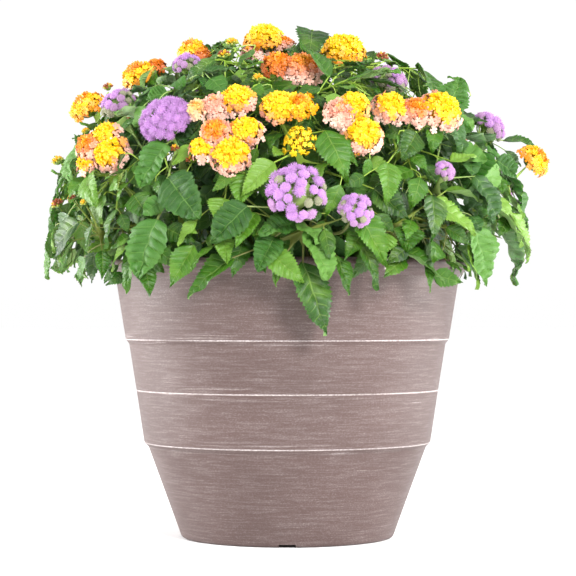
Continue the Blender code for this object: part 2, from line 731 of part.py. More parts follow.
def lay_out_branches(stem, groups, blooms, hanging, crowd, rng):
    """Runs a stem's branches to its blooms and over the rim, clear of the other stems and of all blooms."""
    for group in blooms:
        reached = heads_to_reach(groups[group], crowd)
        for attempt in range(MOST_TRIES):
            branch, stalks = branch_to_heads(stem, reached, attempt, rng)
            shapes = [tube(*branch, 4, math.pi / 4)] + [tube(*stalk, 3) for stalk in stalks]
            if not any(crowd.hits(shape, stem.name) or crosses_itself(shape) for shape in shapes):
                break
        else:
            raise ValueError(f"no clear way for {stem.name} to {group}")
        stem.branches.append(branch)
        stem.stalks += stalks
        for shape in shapes:
            crowd.add(shape, stem.name)
    for number, bearing in enumerate(hanging):
        start = stem.branches[0][0][2].lerp(stem.branches[0][0][3], 0.2 + 0.3 * number) + OFF_CENTRE
        for attempt in range(MOST_TRIES):
            turn = math.radians(bearing + rng.uniform(-0.5, 0.5) * attempt)
            out = Vector((math.sin(turn), -math.cos(turn), 0))
            end = Vector((out.x * CROWN_X, out.y * CROWN_Y, 0)) * HANGING_REACH
            end.z = CROWN_BASE + HANGING_LIFT + FORK_STEP * attempt
            line = curve_through(start, UP * 0.04 + out * 0.02, end, out * 0.05 - UP * 0.012, 3)
            branch = (line, tapered(line, STEM_RADIUS[stem.kind] * 0.7, TIP_RADIUS))
            shape = tube(*branch, 4, math.pi / 4)
            if not crowd.hits(shape, stem.name) and not crosses_itself(shape):
                break
        else:
            raise ValueError(f"no clear way over the rim for {stem.name}")
        stem.branches.append(branch)
        crowd.add(shape, stem.name)


def joints_near(stems, kind, aim):
    """The stems of a kind, nearest first, each with the place just under its skin where a stalk could leave it."""
    found = []
    for stem in stems.values():
        if kind not in (stem.kind, "any"):
            continue
        near = None
        for a, b, side, radius in stem.segments:
            share = (aim - a).dot(b - a) / (b - a).length_squared
            point = a.lerp(b, min(max(share, 0.12), 0.88))
            away = (aim - point).length
            if near is None or away < near[0]:
                near = away, point, (b - a).normalized(), side, radius
        away, point, ahead, side, radius = near
        other = ahead.cross(side)
        normal = max((side, -side, other, -other), key=lambda way: way.dot(aim - point))
        root = point + normal * (radius * math.cos(math.pi / 4) - ROOT_DEPTH)
        found.append((away, root, stem))
    found.sort(key=lambda item: item[0])
    return found


def try_leaf(stems, crowd, rng, kind, base, along, up, length, width, arch, detail):
    """Grows a leaf from the nearest stem that can hold it clear of everything, and says whether it did."""
    for away, root, stem in joints_near(stems, kind, base - along * 0.018)[:4]:
        if away > LONGEST_PETIOLE:
            return False
        leaf = Leaf(stem.kind, root, base, along, up, length, width, arch, rng.uniform(0.08, 0.3), detail)
        if kind == "any":
            leaf.width = length * LEAF_WIDTHS[stem.kind]
        ahead = base - root
        if ahead.length < CLEAR_OF_STEM + 0.002 or ahead.normalized().dot(along) < 0.1:
            continue
        free = blade(leaf, CLEAR_OF_STEM)
        if crowd.hits(free, "", own_too=True) or crowd.hits(blade(leaf), stem.name) or crosses_itself(blade(leaf)):
            continue
        stem.leaves.append(leaf)
        crowd.add(free, stem.name)
        return True
    return False


def add_seen_leaves(stems, crowd):
    """Grows the leaves that the photograph shows: a blade that looks narrow there is turned on edge."""
    for kind, base_column, base_row, tip_column, tip_row, pixels in LEAVES_SEEN:
        rng = random.Random(1000 * base_column + base_row)
        for attempt in range(48):
            out = 0.93 + rng.uniform(-0.10, 0.05) * attempt / 14
            base = seen_at(base_column, base_row, out)
            tip = from_photo(tip_column, tip_row, base.y)
            deeper = seen_at(tip_column, tip_row, out + 0.10 - 0.004 * attempt).y - base.y
            most = 0.5 * (tip - base).length
            tip = from_photo(tip_column, tip_row, base.y + max(-most, min(most, deeper)))
            shrink = 1 - 0.006 * attempt
            ahead = (tip - base).normalized()
            length = (tip - base).length * shrink
            wide, seen = length * LEAF_WIDTHS[kind], pixels * METRES_PER_PIXEL * shrink
            roll = math.acos(max(seen / wide, 0.4)) if seen < wide else 0.0
            face = square_to(outward((base + tip) / 2) * 0.5 + UP * 0.3 - Vector((0, 0.9, 0)), ahead)
            roll_up = 1 if face.cross(UP).dot(ahead) > 0 else -1
            face = Matrix.Rotation(roll * roll_up, 3, ahead) @ face
            arch = rng.uniform(0.2, 0.6)
            lean = Matrix.Rotation(arch / 2, 3, ahead.cross(face))
            wide = max(wide, seen)
            if try_leaf(stems, crowd, rng, kind, base, lean @ ahead, lean @ face, length, wide, arch, "large"):
                break


def hides_bloom(middle, length, heads):
    """Whether a leaf here would stand before a head, for someone outside the crown or at the photograph's camera."""
    eye = Vector((0, -EYE_DISTANCE, EYE_HEIGHT))
    for bloom in heads:
        level = Vector((bloom.centre.x, bloom.centre.y, 0))
        for way in (outward(bloom.centre), (level if bloom.centre.y > 0 else eye - bloom.centre).normalized()):
            off = middle - bloom.centre
            ahead = off.dot(way)
            if 0 < ahead < LONGEST_SHADE and (off - way * ahead).length < bloom.radius + LEAF_SHADE * length:
                return True
    return False


def add_leaves_by_rule(stems, crowd, heads):
    """Closes the crown with leaves that hang from its stems like shingles, in layers from the outside in."""
    for share, low, high, count in LEAF_LAYERS:
        for i in range(count):
            height = low + (high - low) * (i + 0.5) / count
            rng = random.Random(round(share * 100) * 1000 + i)
            for attempt in range(16):
                bearing = 137.508 * i + rng.uniform(-1, 1) * attempt
                middle = crown_at(bearing, height + rng.uniform(-1, 1) * 0.0008 * attempt, share)
                level = Vector((middle.x, middle.y, 0)).normalized()
                face = (outward(middle) * 0.8 + level * 0.50 + UP * 0.20).normalized()
                ahead = square_to(level * 0.3 - UP, face)
                ahead = Matrix.Rotation(rng.uniform(-0.9, 0.9), 3, face) @ ahead
                length = rng.uniform(*LEAF_SIZES) * (1 - 0.022 * attempt)
                arch = rng.uniform(0.3, 0.9)
                lean = Matrix.Rotation(arch / 2, 3, ahead.cross(face))
                base = middle - ahead * length * 0.45
                if hides_bloom(middle, length, heads):
                    continue
                if try_leaf(stems, crowd, rng, "any", base, lean @ ahead, lean @ face, length, 0.0, arch, "small"):
                    break


def add_buds(stems, crowd):
    """Sets each bud on a stalk from the nearest lantana stem that it can reach."""
    buds = [(seen_at(column, row, 0.95), pixels * METRES_PER_PIXEL) for column, row, pixels in BUDS_SEEN]
    buds += [(crown_point(bearing, lift, 1.02), radius) for bearing, lift, radius in BUDS_BEHIND]
    for i, (first, radius) in enumerate(buds):
        rng = random.Random(i)
        facing = (outward(first) * 0.6 + UP * 0.7).normalized()
        any(try_bud(stems, crowd, rng, first, facing, radius, WANDER_STEP * attempt) for attempt in range(24))


def try_bud(stems, crowd, rng, first, facing, radius, wander):
    """Grows a bud near this point, and says whether it did."""
    centre = first + Vector(rng.uniform(-1, 1) for _ in range(3)) * wander
    knob = bud_knob(centre, facing, radius)
    if crowd.hits(knob, "", own_too=True):
        return False
    end = centre - facing * radius * 0.4
    for _, start, stem in joints_near(stems, "lantana", end - UP * 0.01)[:3]:
        reach = (end - start).length
        line = curve_through(start, (end - start) * 0.3 + UP * reach * 0.15, end, facing * reach * 0.3, 2)
        if reach < 0.010:
            continue
        past_stem = line[0].lerp(line[1], min(0.9, CLEAR_OF_STEM / (line[1] - line[0]).length))
        free = tube([past_stem, line[1], line[2]], [STALK_RADIUS] * 3, 3)
        twig = tube(line, [STALK_RADIUS] * 3, 3)
        if crowd.hits(free, "", own_too=True) or crowd.hits(twig, stem.name) or crosses_itself(twig):
            continue
        stem.stalks.append((line, [STALK_RADIUS] * 3))
        stem.buds.append((centre, facing, radius))
        crowd.add(free, stem.name)
        crowd.add(knob, stem.name)
        return True
    return False


def lay_out_plants(pot_shape, soil_shape):
    """Places every bloom, stem, leaf and bud: the same each time, and clear of the pot and of one another."""
    groups = lay_out_blooms()
    crowd = Crowd()
    crowd.add(pot_shape, "pot")
    for name, heads in groups.items():
        for bloom in heads:
            crowd.add(bloom_shape(bloom), "bloom " + name)
    roots = root_places(groups)
    stems = {}
    for number, (name, (kind, blooms, hanging)) in enumerate(STEMS.items()):
        stems[name] = Stem(name, kind, roots[name])
        rng = random.Random(number)
        lay_out_branches(stems[name], groups, blooms, hanging, crowd, rng)
        for line, radii in stems[name].branches:
            sides = [side for _, side in frames(line)]
            for i in range(1, len(line) - 1):
                stems[name].segments.append((line[i], line[i + 1], sides[i], (radii[i] + radii[i + 1]) / 2))
    crowd.add(soil_shape, "soil")
    add_seen_leaves(stems, crowd)
    add_buds(stems, crowd)
    add_leaves_by_rule(stems, crowd, [bloom for heads in groups.values() for bloom in heads])
    return groups, stems


def pot_profile():
    """The pot's section as (radius, height), from the middle of its underside round the outside to its inner floor."""
    points = [(0.0, 0.0), (FOOT_RADIUS - 0.002, 0.0), (FOOT_RADIUS, 0.002)]
    for height, radius, depth in zip(STEP_HEIGHTS, STEP_RADII, STEP_DEPTHS):
        points += [(radius - depth, height - STEP_SLOPE / 2), (radius, height + STEP_SLOPE / 2)]
    points += [
        (NECK_RADIUS, NECK_HEIGHT), (RIM_RADIUS - 0.004, NECK_HEIGHT + 0.006), (RIM_RADIUS, POT_HEIGHT - 0.005),
        (RIM_RADIUS - 0.003, POT_HEIGHT),
        (NECK_RADIUS - WALL + 0.003, POT_HEIGHT - 0.007),
    ]
    points += reversed(inner_wall())
    points.append((0.0, FLOOR_TOP))
    return points


def inner_wall():
    """The inside of the pot's wall as (radius, height), from the floor up to the neck."""
    lower = STEP_RADII[0] - STEP_DEPTHS[0] - WALL - 0.001
    return [
        (FOOT_RADIUS - WALL, FLOOR_TOP), (lower, STEP_HEIGHTS[0]),
        (NECK_RADIUS - WALL - 0.0005, NECK_HEIGHT - 0.002),
    ]


def turned(profile):
    """A closed solid turned round Z from a section that starts and ends on the axis."""
    mesh = bmesh.new()
    verts = [mesh.verts.new((radius, 0, height)) for radius, height in profile]
    edges = [mesh.edges.new(pair) for pair in zip(verts, verts[1:])]
    bmesh.ops.spin(
        mesh, geom=verts + edges, cent=(0, 0, 0), axis=(0, 0, 1), angle=math.tau, steps=POT_SIDES, use_merge=True)
    bmesh.ops.remove_doubles(mesh, verts=mesh.verts, dist=1e-6)
    bmesh.ops.recalc_face_normals(mesh, faces=mesh.faces)
    mesh.verts.index_update()
    shape = [vertex.co.copy() for vertex in mesh.verts], [tuple(v.index for v in face.verts) for face in mesh.faces]
    mesh.free()
    return shape


def soil_profile():
    """The potting mix's section: a plug that fills the pot to just under its neck, with a low mound on top."""
    (floor_radius, floor), (bend_radius, bend), (neck_radius, neck) = inner_wall()
    slope = (neck_radius - bend_radius) / (neck - bend)
    top_radius = bend_radius + (SOIL_TOP - bend) * slope
    return [
        (0.0, floor + SEAT_GAP), (floor_radius - 0.0008, floor + SEAT_GAP), (bend_radius - SEAT_GAP, bend),
        (top_radius - SEAT_GAP, SOIL_TOP), (0.0, SOIL_TOP + SOIL_MOUND),
    ]


def material(name, colour, roughness):
    made = bpy.data.materials.new(name)
    made.use_nodes = True
    shader = made.node_tree.nodes["Principled BSDF"]
    shader.inputs["Base Color"].default_value = (*colour, 1.0)
    shader.inputs["Roughness"].default_value = roughness
    shader.inputs["Metallic"].default_value = 0.0
    made.diffuse_color = (*colour, 1.0)
    return made


def new_object(name, shape, finish=None):
    """A mesh object from vertices and faces, with its normals facing out."""
    data = bpy.data.meshes.new(name)
    data.from_pydata([tuple(v) for v in shape[0]], [], shape[1])
    mesh = bmesh.new()
    mesh.from_mesh(data)
    bmesh.ops.recalc_face_normals(mesh, faces=mesh.faces)
    mesh.to_mesh(data)
    mesh.free()
    if finish:
        data.materials.append(finish)
    made = bpy.data.objects.new(name, data)
    bpy.context.scene.collection.objects.link(made)
    return made


def volume_of(data):
    """The volume that a mesh encloses, or zero where it isn't closed."""
    mesh = bmesh.new()
    mesh.from_mesh(data)
    found = mesh.calc_volume() if all(len(edge.link_faces) == 2 for edge in mesh.edges) else 0.0
    mesh.free()
    return found


def apply_boolean(target, others, operation):
    """Joins or cuts target with the others by one Boolean, applies it and removes the others."""
    group = bpy.data.collections.new("operands")
    bpy.context.scene.collection.children.link(group)
    for other in others:
        bpy.context.scene.collection.objects.unlink(other)
        group.objects.link(other)
    most = sum(volume_of(other.data) for other in [target, *others])
    boolean = target.modifiers.new("Boolean", "BOOLEAN")
    boolean.operation = operation
    boolean.operand_type = "COLLECTION"
    boolean.collection = group
    for solver in ("EXACT", "MANIFOLD"):
        boolean.solver = solver
        graph = bpy.context.evaluated_depsgraph_get()
        graph.update()
        joined = bpy.data.meshes.new_from_object(target.evaluated_get(graph))
        if 0 < volume_of(joined) < most:
            break
    finish = target.data.materials[0]
    target.modifiers.clear()
    target.data = joined
    joined.materials.clear()
    joined.materials.append(finish)
    for polygon in joined.polygons:
        polygon.material_index = 0
    for other in list(group.objects):
        bpy.data.objects.remove(other)
    bpy.data.collections.remove(group)


def build_pot(finish):
    pot = new_object("pot", turned(pot_profile()), finish)
    cutters = []
    for k in range(FOOT_HOLES):
        angle = math.tau * k / FOOT_HOLES - math.pi / 2
        notch = bmesh.new()
        bmesh.ops.create_cube(notch, size=1.0, matrix=(
            Matrix.Rotation(angle, 4, "Z")
            @ Matrix.Translation((FOOT_RADIUS, 0, 0))
            @ Matrix.Diagonal((2 * NOTCH_LENGTH, NOTCH_WIDTH, 2 * NOTCH_HEIGHT, 1))
        ))
        cutters.append(cutter("notch", notch))
        angle += math.pi / FOOT_HOLES
        drain = bmesh.new()
        bmesh.ops.create_cone(
            drain, cap_ends=True, segments=8, radius1=DRAIN_RADIUS, radius2=DRAIN_RADIUS, depth=0.05,
            matrix=Matrix.Rotation(angle, 4, "Z") @ Matrix.Translation((DRAIN_RING, 0, 0)),
        )
        cutters.append(cutter("drain", drain))
    apply_boolean(pot, cutters, "DIFFERENCE")
    return pot


def cutter(name, mesh):
    data = bpy.data.meshes.new(name)
    mesh.to_mesh(data)
    mesh.free()
    made = bpy.data.objects.new(name, data)
    bpy.context.scene.collection.objects.link(made)
    return made


def build_soil(stems, finish):
    soil = new_object("potting_mix", turned(soil_profile()), finish)
    holes = []
    for stem in stems.values():
        top = soil_height(stem.root.x, stem.root.y) + STEM_FOOT
        bottom = top - 2 * STEM_FOOT + FOOT_SHOWING - SEAT_GAP
        radius = STEM_RADIUS[stem.kind] + SEAT_GAP * math.sqrt(2)
        line = [stem.root + UP * bottom, stem.root + UP * top]
        holes.append(new_object("hole", tube(line, [radius] * 2, 4, math.pi / 4)))
    apply_boolean(soil, holes, "DIFFERENCE")
    return soil


def collapse_safely(mesh, edge):
    """Merges an edge's ends at its middle, unless that would pinch the surface or fold a face over."""
    kept, gone = edge.verts
    shared = {e.other_vert(kept) for e in kept.link_edges} & {e.other_vert(gone) for e in gone.link_edges}
    if len(shared) != 2 or len(edge.link_faces) != 2:
        return False
    middle = (kept.co + gone.co) / 2
    for vertex in edge.verts:
        for face in vertex.link_faces:
            if face in edge.link_faces:
                continue
            before = [v.co for v in face.verts]
            after = [middle if v is vertex else v.co for v in face.verts]
            was = (before[1] - before[0]).cross(before[2] - before[0])
            now = (after[1] - after[0]).cross(after[2] - after[0])
            if now.length < 2 * SMALLEST_FACE or was.dot(now) < 0.5 * was.length * now.length:
                return False
    bmesh.ops.pointmerge(mesh, verts=[kept, gone], merge_co=middle)
    return True


def simplify_joints(data):
    """Collapses the short edges that a union leaves round each joint, and drops scraps and sealed hollows."""
    mesh = bmesh.new()
    mesh.from_mesh(data)
    bmesh.ops.triangulate(mesh, faces=mesh.faces)
    left = set(mesh.verts)
    pieces = []
    while left:
        piece, ends = set(), [left.pop()]
        while ends:
            vertex = ends.pop()
            piece.add(vertex)
            for edge in vertex.link_edges:
                other = edge.other_vert(vertex)
                if other in left:
                    left.discard(other)
                    ends.append(other)
        pieces.append(piece)
    pieces.sort(key=len)
    scraps = [vertex for piece in pieces[:-1] for vertex in piece]
    bmesh.ops.delete(mesh, geom=scraps, context="VERTS")
    refused = set()
    while True:
        short = [
            edge for edge in mesh.edges
            if edge.calc_length() < SHORTEST_EDGE and tuple(edge.verts[0].co + edge.verts[1].co) not in refused
        ]
        if not short:
            break
        edge = min(short, key=lambda e: e.calc_length())
        where = tuple(edge.verts[0].co + edge.verts[1].co)
        if not collapse_safely(mesh, edge):
            refused.add(where)
    mesh.to_mesh(data)
    mesh.free()


def build_stem(stem, finish):
    """A leafy stem: its first branch, joined with the others, the stalks, leaves and buds."""
    line, radii = stem.branches[0]
    trunk = new_object(stem.name, tube(line, radii, 4, math.pi / 4), finish)
    grown = [new_object("branch", tube(line, radii, 4, math.pi / 4)) for line, radii in stem.branches[1:]]
    grown += [new_object("stalk", tube(line, radii, 3)) for line, radii in stem.stalks]
    grown += [new_object("leaf", blade(leaf)) for leaf in stem.leaves]
    grown += [new_object("bud", bud_knob(*bud)) for bud in stem.buds]
    apply_boolean(trunk, grown, "UNION")
    simplify_joints(trunk.data)
    return trunk


def build_bloom(name, heads, finish):
    first = new_object(name, bloom_shape(heads[0]), finish)
    others = [new_object("head", bloom_shape(bloom)) for bloom in heads[1:]]
    if others:
        apply_boolean(first, others, "UNION")
        simplify_joints(first.data)
    return first


def main():
    for old in list(bpy.data.objects):
        bpy.data.objects.remove(old)
    resin = material("whitewashed resin", (0.42, 0.31, 0.29), 0.55)
    mix = material("potting mix", (0.035, 0.022, 0.015), 0.95)
    leaf_green = material("lantana leaf", (0.09, 0.26, 0.03), 0.5)
    blue_green = material("ageratum leaf", (0.08, 0.25, 0.08), 0.6)
    petals = {
        "yellow": material("yellow petals", (0.95, 0.66, 0.02), 0.6),
        "orange": material("orange petals", (0.90, 0.35, 0.03), 0.6),
        "pink": material("pink petals", (0.90, 0.50, 0.42), 0.6),
        "violet": material("violet florets", (0.50, 0.28, 0.72), 0.8),
    }
    groups, stems = lay_out_plants(turned(pot_profile()), turned(soil_profile()))
    build_pot(resin)
    build_soil(stems, mix)
    for stem in stems.values():
        build_stem(stem, leaf_green if stem.kind == "lantana" else blue_green)
    for name, heads in groups.items():
        if heads[0].colouring == "violet":
            build_bloom("ageratum_bloom_" + name[2:], heads, petals["violet"])
        else:
            main_colour = heads[0].colouring.split("_")[0]
            build_bloom("lantana_bloom_" + name, heads, petals.get(main_colour, petals["yellow"]))
    for made in bpy.data.objects:
        made.data.shade_smooth()
        made.data.set_sharp_from_angle(angle=math.radians(30))


main()
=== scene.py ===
"""The looks of the lantana and ageratum planter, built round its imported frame.

Metres, +Z up, the front towards -Y. Each leafy stem and each bloom of the frame is replaced, where it stands,
by a finer piece with the same blades, stalks and heads, which are read off the frame's own meshes. Small
leaves fill the crown between them.
"""

import math
import random
from dataclasses import dataclass
from itertools import combinations

import bmesh
import bpy
import numpy as np
from mathutils import Matrix, Vector
from mathutils.bvhtree import BVHTree


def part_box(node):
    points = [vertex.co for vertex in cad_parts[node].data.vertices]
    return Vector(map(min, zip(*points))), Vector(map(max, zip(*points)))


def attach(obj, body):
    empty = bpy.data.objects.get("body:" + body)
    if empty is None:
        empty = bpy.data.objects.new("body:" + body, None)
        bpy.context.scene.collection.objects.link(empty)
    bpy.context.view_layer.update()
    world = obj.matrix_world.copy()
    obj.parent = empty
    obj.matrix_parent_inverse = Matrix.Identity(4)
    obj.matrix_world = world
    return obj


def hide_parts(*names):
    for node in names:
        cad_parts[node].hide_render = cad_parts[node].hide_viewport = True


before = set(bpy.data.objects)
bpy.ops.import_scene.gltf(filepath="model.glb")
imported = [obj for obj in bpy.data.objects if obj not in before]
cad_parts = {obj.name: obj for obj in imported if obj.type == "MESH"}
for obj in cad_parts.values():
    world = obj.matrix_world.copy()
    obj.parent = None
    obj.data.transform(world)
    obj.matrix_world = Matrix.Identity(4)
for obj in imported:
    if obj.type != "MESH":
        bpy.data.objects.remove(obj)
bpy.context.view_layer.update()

UP = Vector((0, 0, 1))

# The photograph's camera, and what it shows: the column of the pot's axis, the horizon's row and the scale
EYE = Vector((0.0007, -2.204, 0.234))
EYE_PITCH = 90.70
LENS = 130.9
METRES_PER_PIXEL = 0.0010526
AXIS_COLUMN = 287.3
HORIZON_ROW = 313.5

# The studio: each light's name, place, size and power, where all point, and the sky's strength, low and high
LIGHTS = (
    ("key light", (1.0, -2.6, 1.4), 0.7, 118), ("left light", (-2.2, 0.3, 0.5), 1.2, 104),
    ("right light", (2.2, 0.3, 0.5), 1.2, 74),
)
LIGHT_TARGET = Vector((0, 0, 0.28))
SKY = (1.0, 1.25)
FLOOR_REACH = 30
FLOOR_TONE = 0.88

# The crown that the plants fill, as in the frame, with the low side where it is thin and the lowest leaf tip
CROWN_BASE = 0.300
CROWN_X = 0.252
CROWN_Y = 0.226
CROWN_TOP = 0.226
SKIRT_LOW = 0.200
SKIRT_RADIUS = 0.203
THIN_SIDE = 0.190
THIN_SIDE_TOP = 0.320
LOWEST_TIP = 0.258

# What marks a blade, a head or a bud in the frame's meshes. A head's end has the number of its lobes, their
# angle from the top, its own height as a share of the radius, and the least and the largest radius
RIB_THICKNESS = 0.0016
RIB_STATION = 0.48
SHORTEST_RIB = 0.009
LAST_RIMS = {"lantana": ((0.72, 0.50), (0.74, 0.54)), "ageratum": ((0.76, 0.58), (0.78, 0.62))}
HEAD_ENDS = (
    (5, 0.62, 0.78, 0.008, 0.014), (6, 0.50, 0.78, 0.014, 0.022), (5, 1.45, -0.42, 0.008, 0.014),
    (6, 1.68, -0.42, 0.014, 0.022),
)
HEAD_HEIGHT = 0.85
NOTCH_REACH = 0.70
SAME_SPAN = 5e-5
SAME_LENGTH = 3e-5
SAME_PLACE = 2e-6
READING_WAY = Vector((1, 1, -1))
GOLDEN_ANGLE = math.radians(137.508)

# The pot, as in the frame
FOOT_RADIUS = 0.1105
STEP_HEIGHTS = (0.0975, 0.152, 0.205)
STEP_RADII = (0.1500, 0.1582, 0.1695)
STEP_DEPTHS = (0.0045, 0.0007, 0.0036)
STEP_SLOPE = 0.0045
NECK_RADIUS = 0.180
NECK_HEIGHT = 0.272
RIM_RADIUS = 0.190
WALL = 0.0045
FLOOR_TOP = 0.010
POT_SEGMENTS = 192
NOTCH = (0.044, 0.017, 0.0064)
DRAIN_RADIUS = 0.006
DRAIN_RING = 0.060
FOOT_HOLES = 4
GROOVE_HEIGHT = 0.2795
CHIP = (0.0975, 0.283)
SOIL_TOP = 0.262
SOIL_MOUND = 0.010

# How each kind's blade is drawn: where it is widest, how it swells and tapers, its teeth and its relief
BLADES = {
    "lantana": dict(widest=0.34, swell=0.60, taper=1.45, point=1.20, rows_per_tooth=2, tooth=0.115, jut=0.60,
                    slant=0.20, quilt=0.085, vein_rows=4, wave=0.17, crinkle=0.12),
    "ageratum": dict(widest=0.34, swell=0.52, taper=1.7, point=0.85, rows_per_tooth=3, tooth=0.075, jut=0.10,
                     slant=0.16, quilt=0.150, vein_rows=4, wave=0.20, crinkle=0.15),
}
BLADE_THICKNESS = 0.00035
RIB_DEPTH = 0.0009
# Rows along a blade, and the places of its points from the rib to the edge
LARGE_GRID = (28, (0.0, 0.22, 0.55, 0.85, 1.0))
SMALL_GRID = (16, (0.0, 0.50, 1.0))
INNER_GRID = (8, (0.0, 1.0))

# Small leaves by layers of the crown: share of the way out, lowest and highest place, and number
LEAF_LAYERS = (
    (0.97, 0.275, 0.515, 360), (0.87, 0.280, 0.505, 320), (0.93, 0.430, 0.520, 150),
    (0.78, 0.285, 0.490, 420), (0.64, 0.290, 0.460, 360), (0.48, 0.290, 0.420, 220),
)
OUTER_SHARE = 0.8
LEAF_ATTEMPTS = 11
DEPTH_ATTEMPTS = 17
DEPTH_STEP = 0.006
PETIOLE_REACH = 0.070
TREE_BATCH = 40

# Lantana florets in a head's middle and at its edge: angles from the top, spacing, size, share of the radius
HEAD_WIDEST = 1.80
HEAD_EDGE = 0.62 * HEAD_WIDEST
YOUNG_ZONE = (0.0, HEAD_EDGE, 0.0038, 0.0034, 0.95)
OPEN_ZONE = (HEAD_EDGE, HEAD_WIDEST, 0.0054, 0.0045, 1.02)
# One lobe of a floret's rim: angle from the lobe's middle, reach and rise
LOBE_RIM = ((-0.42, 0.88, 0.02), (0.0, 1.0, -0.02), (0.42, 0.88, 0.02), (0.628, 0.42, 0.0))
YOUNG_RIM = ((-0.40, 0.95, 0.10), (0.05, 1.0, 0.22), (0.45, 0.90, 0.06), (0.70, 0.55, 0.02))
TUBE_END = -1.30
# How far down an ageratum head's buttons go, and how open each head is
BUTTONS_WIDEST = 1.90
OPENNESS = {
    "left_middle": 1.0, "front": 0.84, "front_right": 0.66, "left": 0.60, "back_left": 0.85, "top_left": 0.6,
    "right": 0.66, "right_low": 0.55, "top_right": 0.52, "back": 0.75, "back_right": 0.6,
}

# Lantana heads that the photograph shows: column, row, radius in pixels, and colouring
HEAD_COLOURS = (
    (112, 155, 17, "yellow_pink"), (106, 130, 13, "yellow_pink"), (87, 151, 14, "orange_pink"),
    (84, 173, 9, "yellow_pink"), (232, 155, 18, "yellow_pink"), (246, 132, 14, "yellow_pink"),
    (213, 130, 14, "orange_pink"), (202, 150, 11, "yellow_pink"), (238, 101, 15, "yellow_pink"),
    (215, 108, 13, "pink"), (195, 111, 10, "cream"), (278, 107, 15, "yellow"),
    (302, 107, 13, "orange_yellow"), (300, 142, 14, "loose"), (362, 136, 17, "yellow_pink"),
    (332, 105, 15, "yellow"), (354, 106, 13, "yellow"), (341, 122, 11, "pink"),
    (440, 112, 19, "yellow_pink"), (412, 113, 14, "orange_pink"), (387, 109, 16, "yellow_pink"),
    (88, 108, 16, "orange_yellow"), (140, 78, 17, "orange_yellow"), (163, 65, 10, "orange"),
    (192, 52, 13, "orange_yellow"), (210, 60, 9, "orange"), (264, 41, 18, "yellow_orange"),
    (288, 48, 10, "orange_pink"), (249, 60, 12, "pink"), (303, 71, 18, "orange_pink"),
    (278, 66, 14, "orange"), (343, 53, 20, "yellow_orange"), (533, 161, 15, "orange_yellow"),
)
# Leaves that it shows alone at the outline: column and row of the base and of the tip, and how far back
SHOWN_LEAVES = (
    (503, 140, 537, 147, 0.01), (101, 133, 80, 122, -0.03), (86, 160, 74, 134, -0.02),
    (76, 188, 52, 170, -0.02), (74, 172, 55, 156, 0.01), (92, 140, 72, 138, 0.0),
    (470, 92, 448, 76, 0.02), (182, 78, 160, 88, -0.02), (352, 92, 380, 84, 0.03),
    (398, 84, 420, 72, 0.04), (505, 150, 521, 166, 0.02),
)
BACK_COLOURS = ("yellow_pink", "orange_yellow", "orange_pink", "yellow")


def srgb(red, green, blue):
    """A colour as the eye reads it, 0 to 255, turned into the light that a shader works in."""
    shares = (channel / 255 for channel in (red, green, blue))
    return tuple(c / 12.92 if c < 0.0405 else ((c + 0.055) / 1.055) ** 2.4 for c in shares)


# Petal colours from the middle of a lantana head to its edge, and where along the way each one is reached
YELLOW, GOLD, ORANGE, PINK = srgb(244, 204, 0), srgb(238, 168, 4), srgb(224, 128, 18), srgb(232, 164, 138)
PALE, CREAM, RUST = srgb(242, 206, 190), srgb(240, 204, 130), srgb(178, 84, 20)
COLOURINGS = {
    "yellow_pink": ((0.0, YELLOW), (0.50, YELLOW), (0.62, GOLD), (0.70, PINK), (1.0, PALE)),
    "orange_yellow": ((0.0, GOLD), (0.25, ORANGE), (0.45, YELLOW), (0.8, GOLD), (1.0, ORANGE)),
    "orange_pink": ((0.0, GOLD), (0.35, ORANGE), (0.60, PINK), (1.0, PALE)),
    "yellow": ((0.0, YELLOW), (0.60, YELLOW), (0.75, GOLD), (1.0, PINK)),
    "yellow_orange": ((0.0, YELLOW), (0.62, YELLOW), (0.8, GOLD), (1.0, ORANGE)),
    "orange": ((0.0, GOLD), (0.3, ORANGE), (1.0, RUST)),
    "pink": ((0.0, GOLD), (0.20, PINK), (1.0, PALE)),
    "cream": ((0.0, GOLD), (0.35, CREAM), (1.0, PALE)),
    "loose": ((0.0, YELLOW), (1.0, YELLOW)),
}
VIOLET, LILAC, BUD_CREAM = srgb(190, 138, 206), srgb(182, 138, 186), srgb(150, 152, 120)
CUP_GREEN, STALK_GREEN = srgb(104, 138, 56), srgb(140, 175, 80)
BUD_GOLD, BUD_GREEN, BUD_BROWN = srgb(222, 168, 24), srgb(168, 172, 60), srgb(142, 72, 38)

# A leaf's skin: its deep, light and young tones, its veins' tone and their strength, and how matt it is. The
# deep tone also serves as the painted shade inside the crown, and the young tone as the painted sheen
# patches.
LEAF_SKINS = {
    "lantana leaf": ((12, 48, 0), (62, 112, 8), (108, 142, 50), (132, 160, 76), 0.34, 0.28),
    "lantana leaf underside": ((76, 116, 54), (118, 152, 84), (140, 170, 102), (170, 190, 134), 0.5, 0.6),
    "ageratum leaf": ((18, 58, 8), (60, 108, 28), (92, 132, 56), (116, 152, 78), 0.38, 0.44),
    "ageratum leaf underside": ((96, 130, 86), (134, 162, 118), (150, 176, 128), (176, 198, 156), 0.5, 0.6),
}
THIN_GREEN = dict(Subsurface_Scale=0.002, Subsurface_Radius=(0.4, 1.0, 0.1))
THIN_PETAL = dict(Subsurface_Scale=0.002, Subsurface_Radius=(1.0, 0.7, 0.8))


@dataclass
class Leaf:
    """A blade: from base along, with its upper side up, bent through arch and folded along its rib."""

    kind: str
    base: Vector
    along: Vector
    up: Vector
    length: float
    width: float
    arch: float
    fold: float


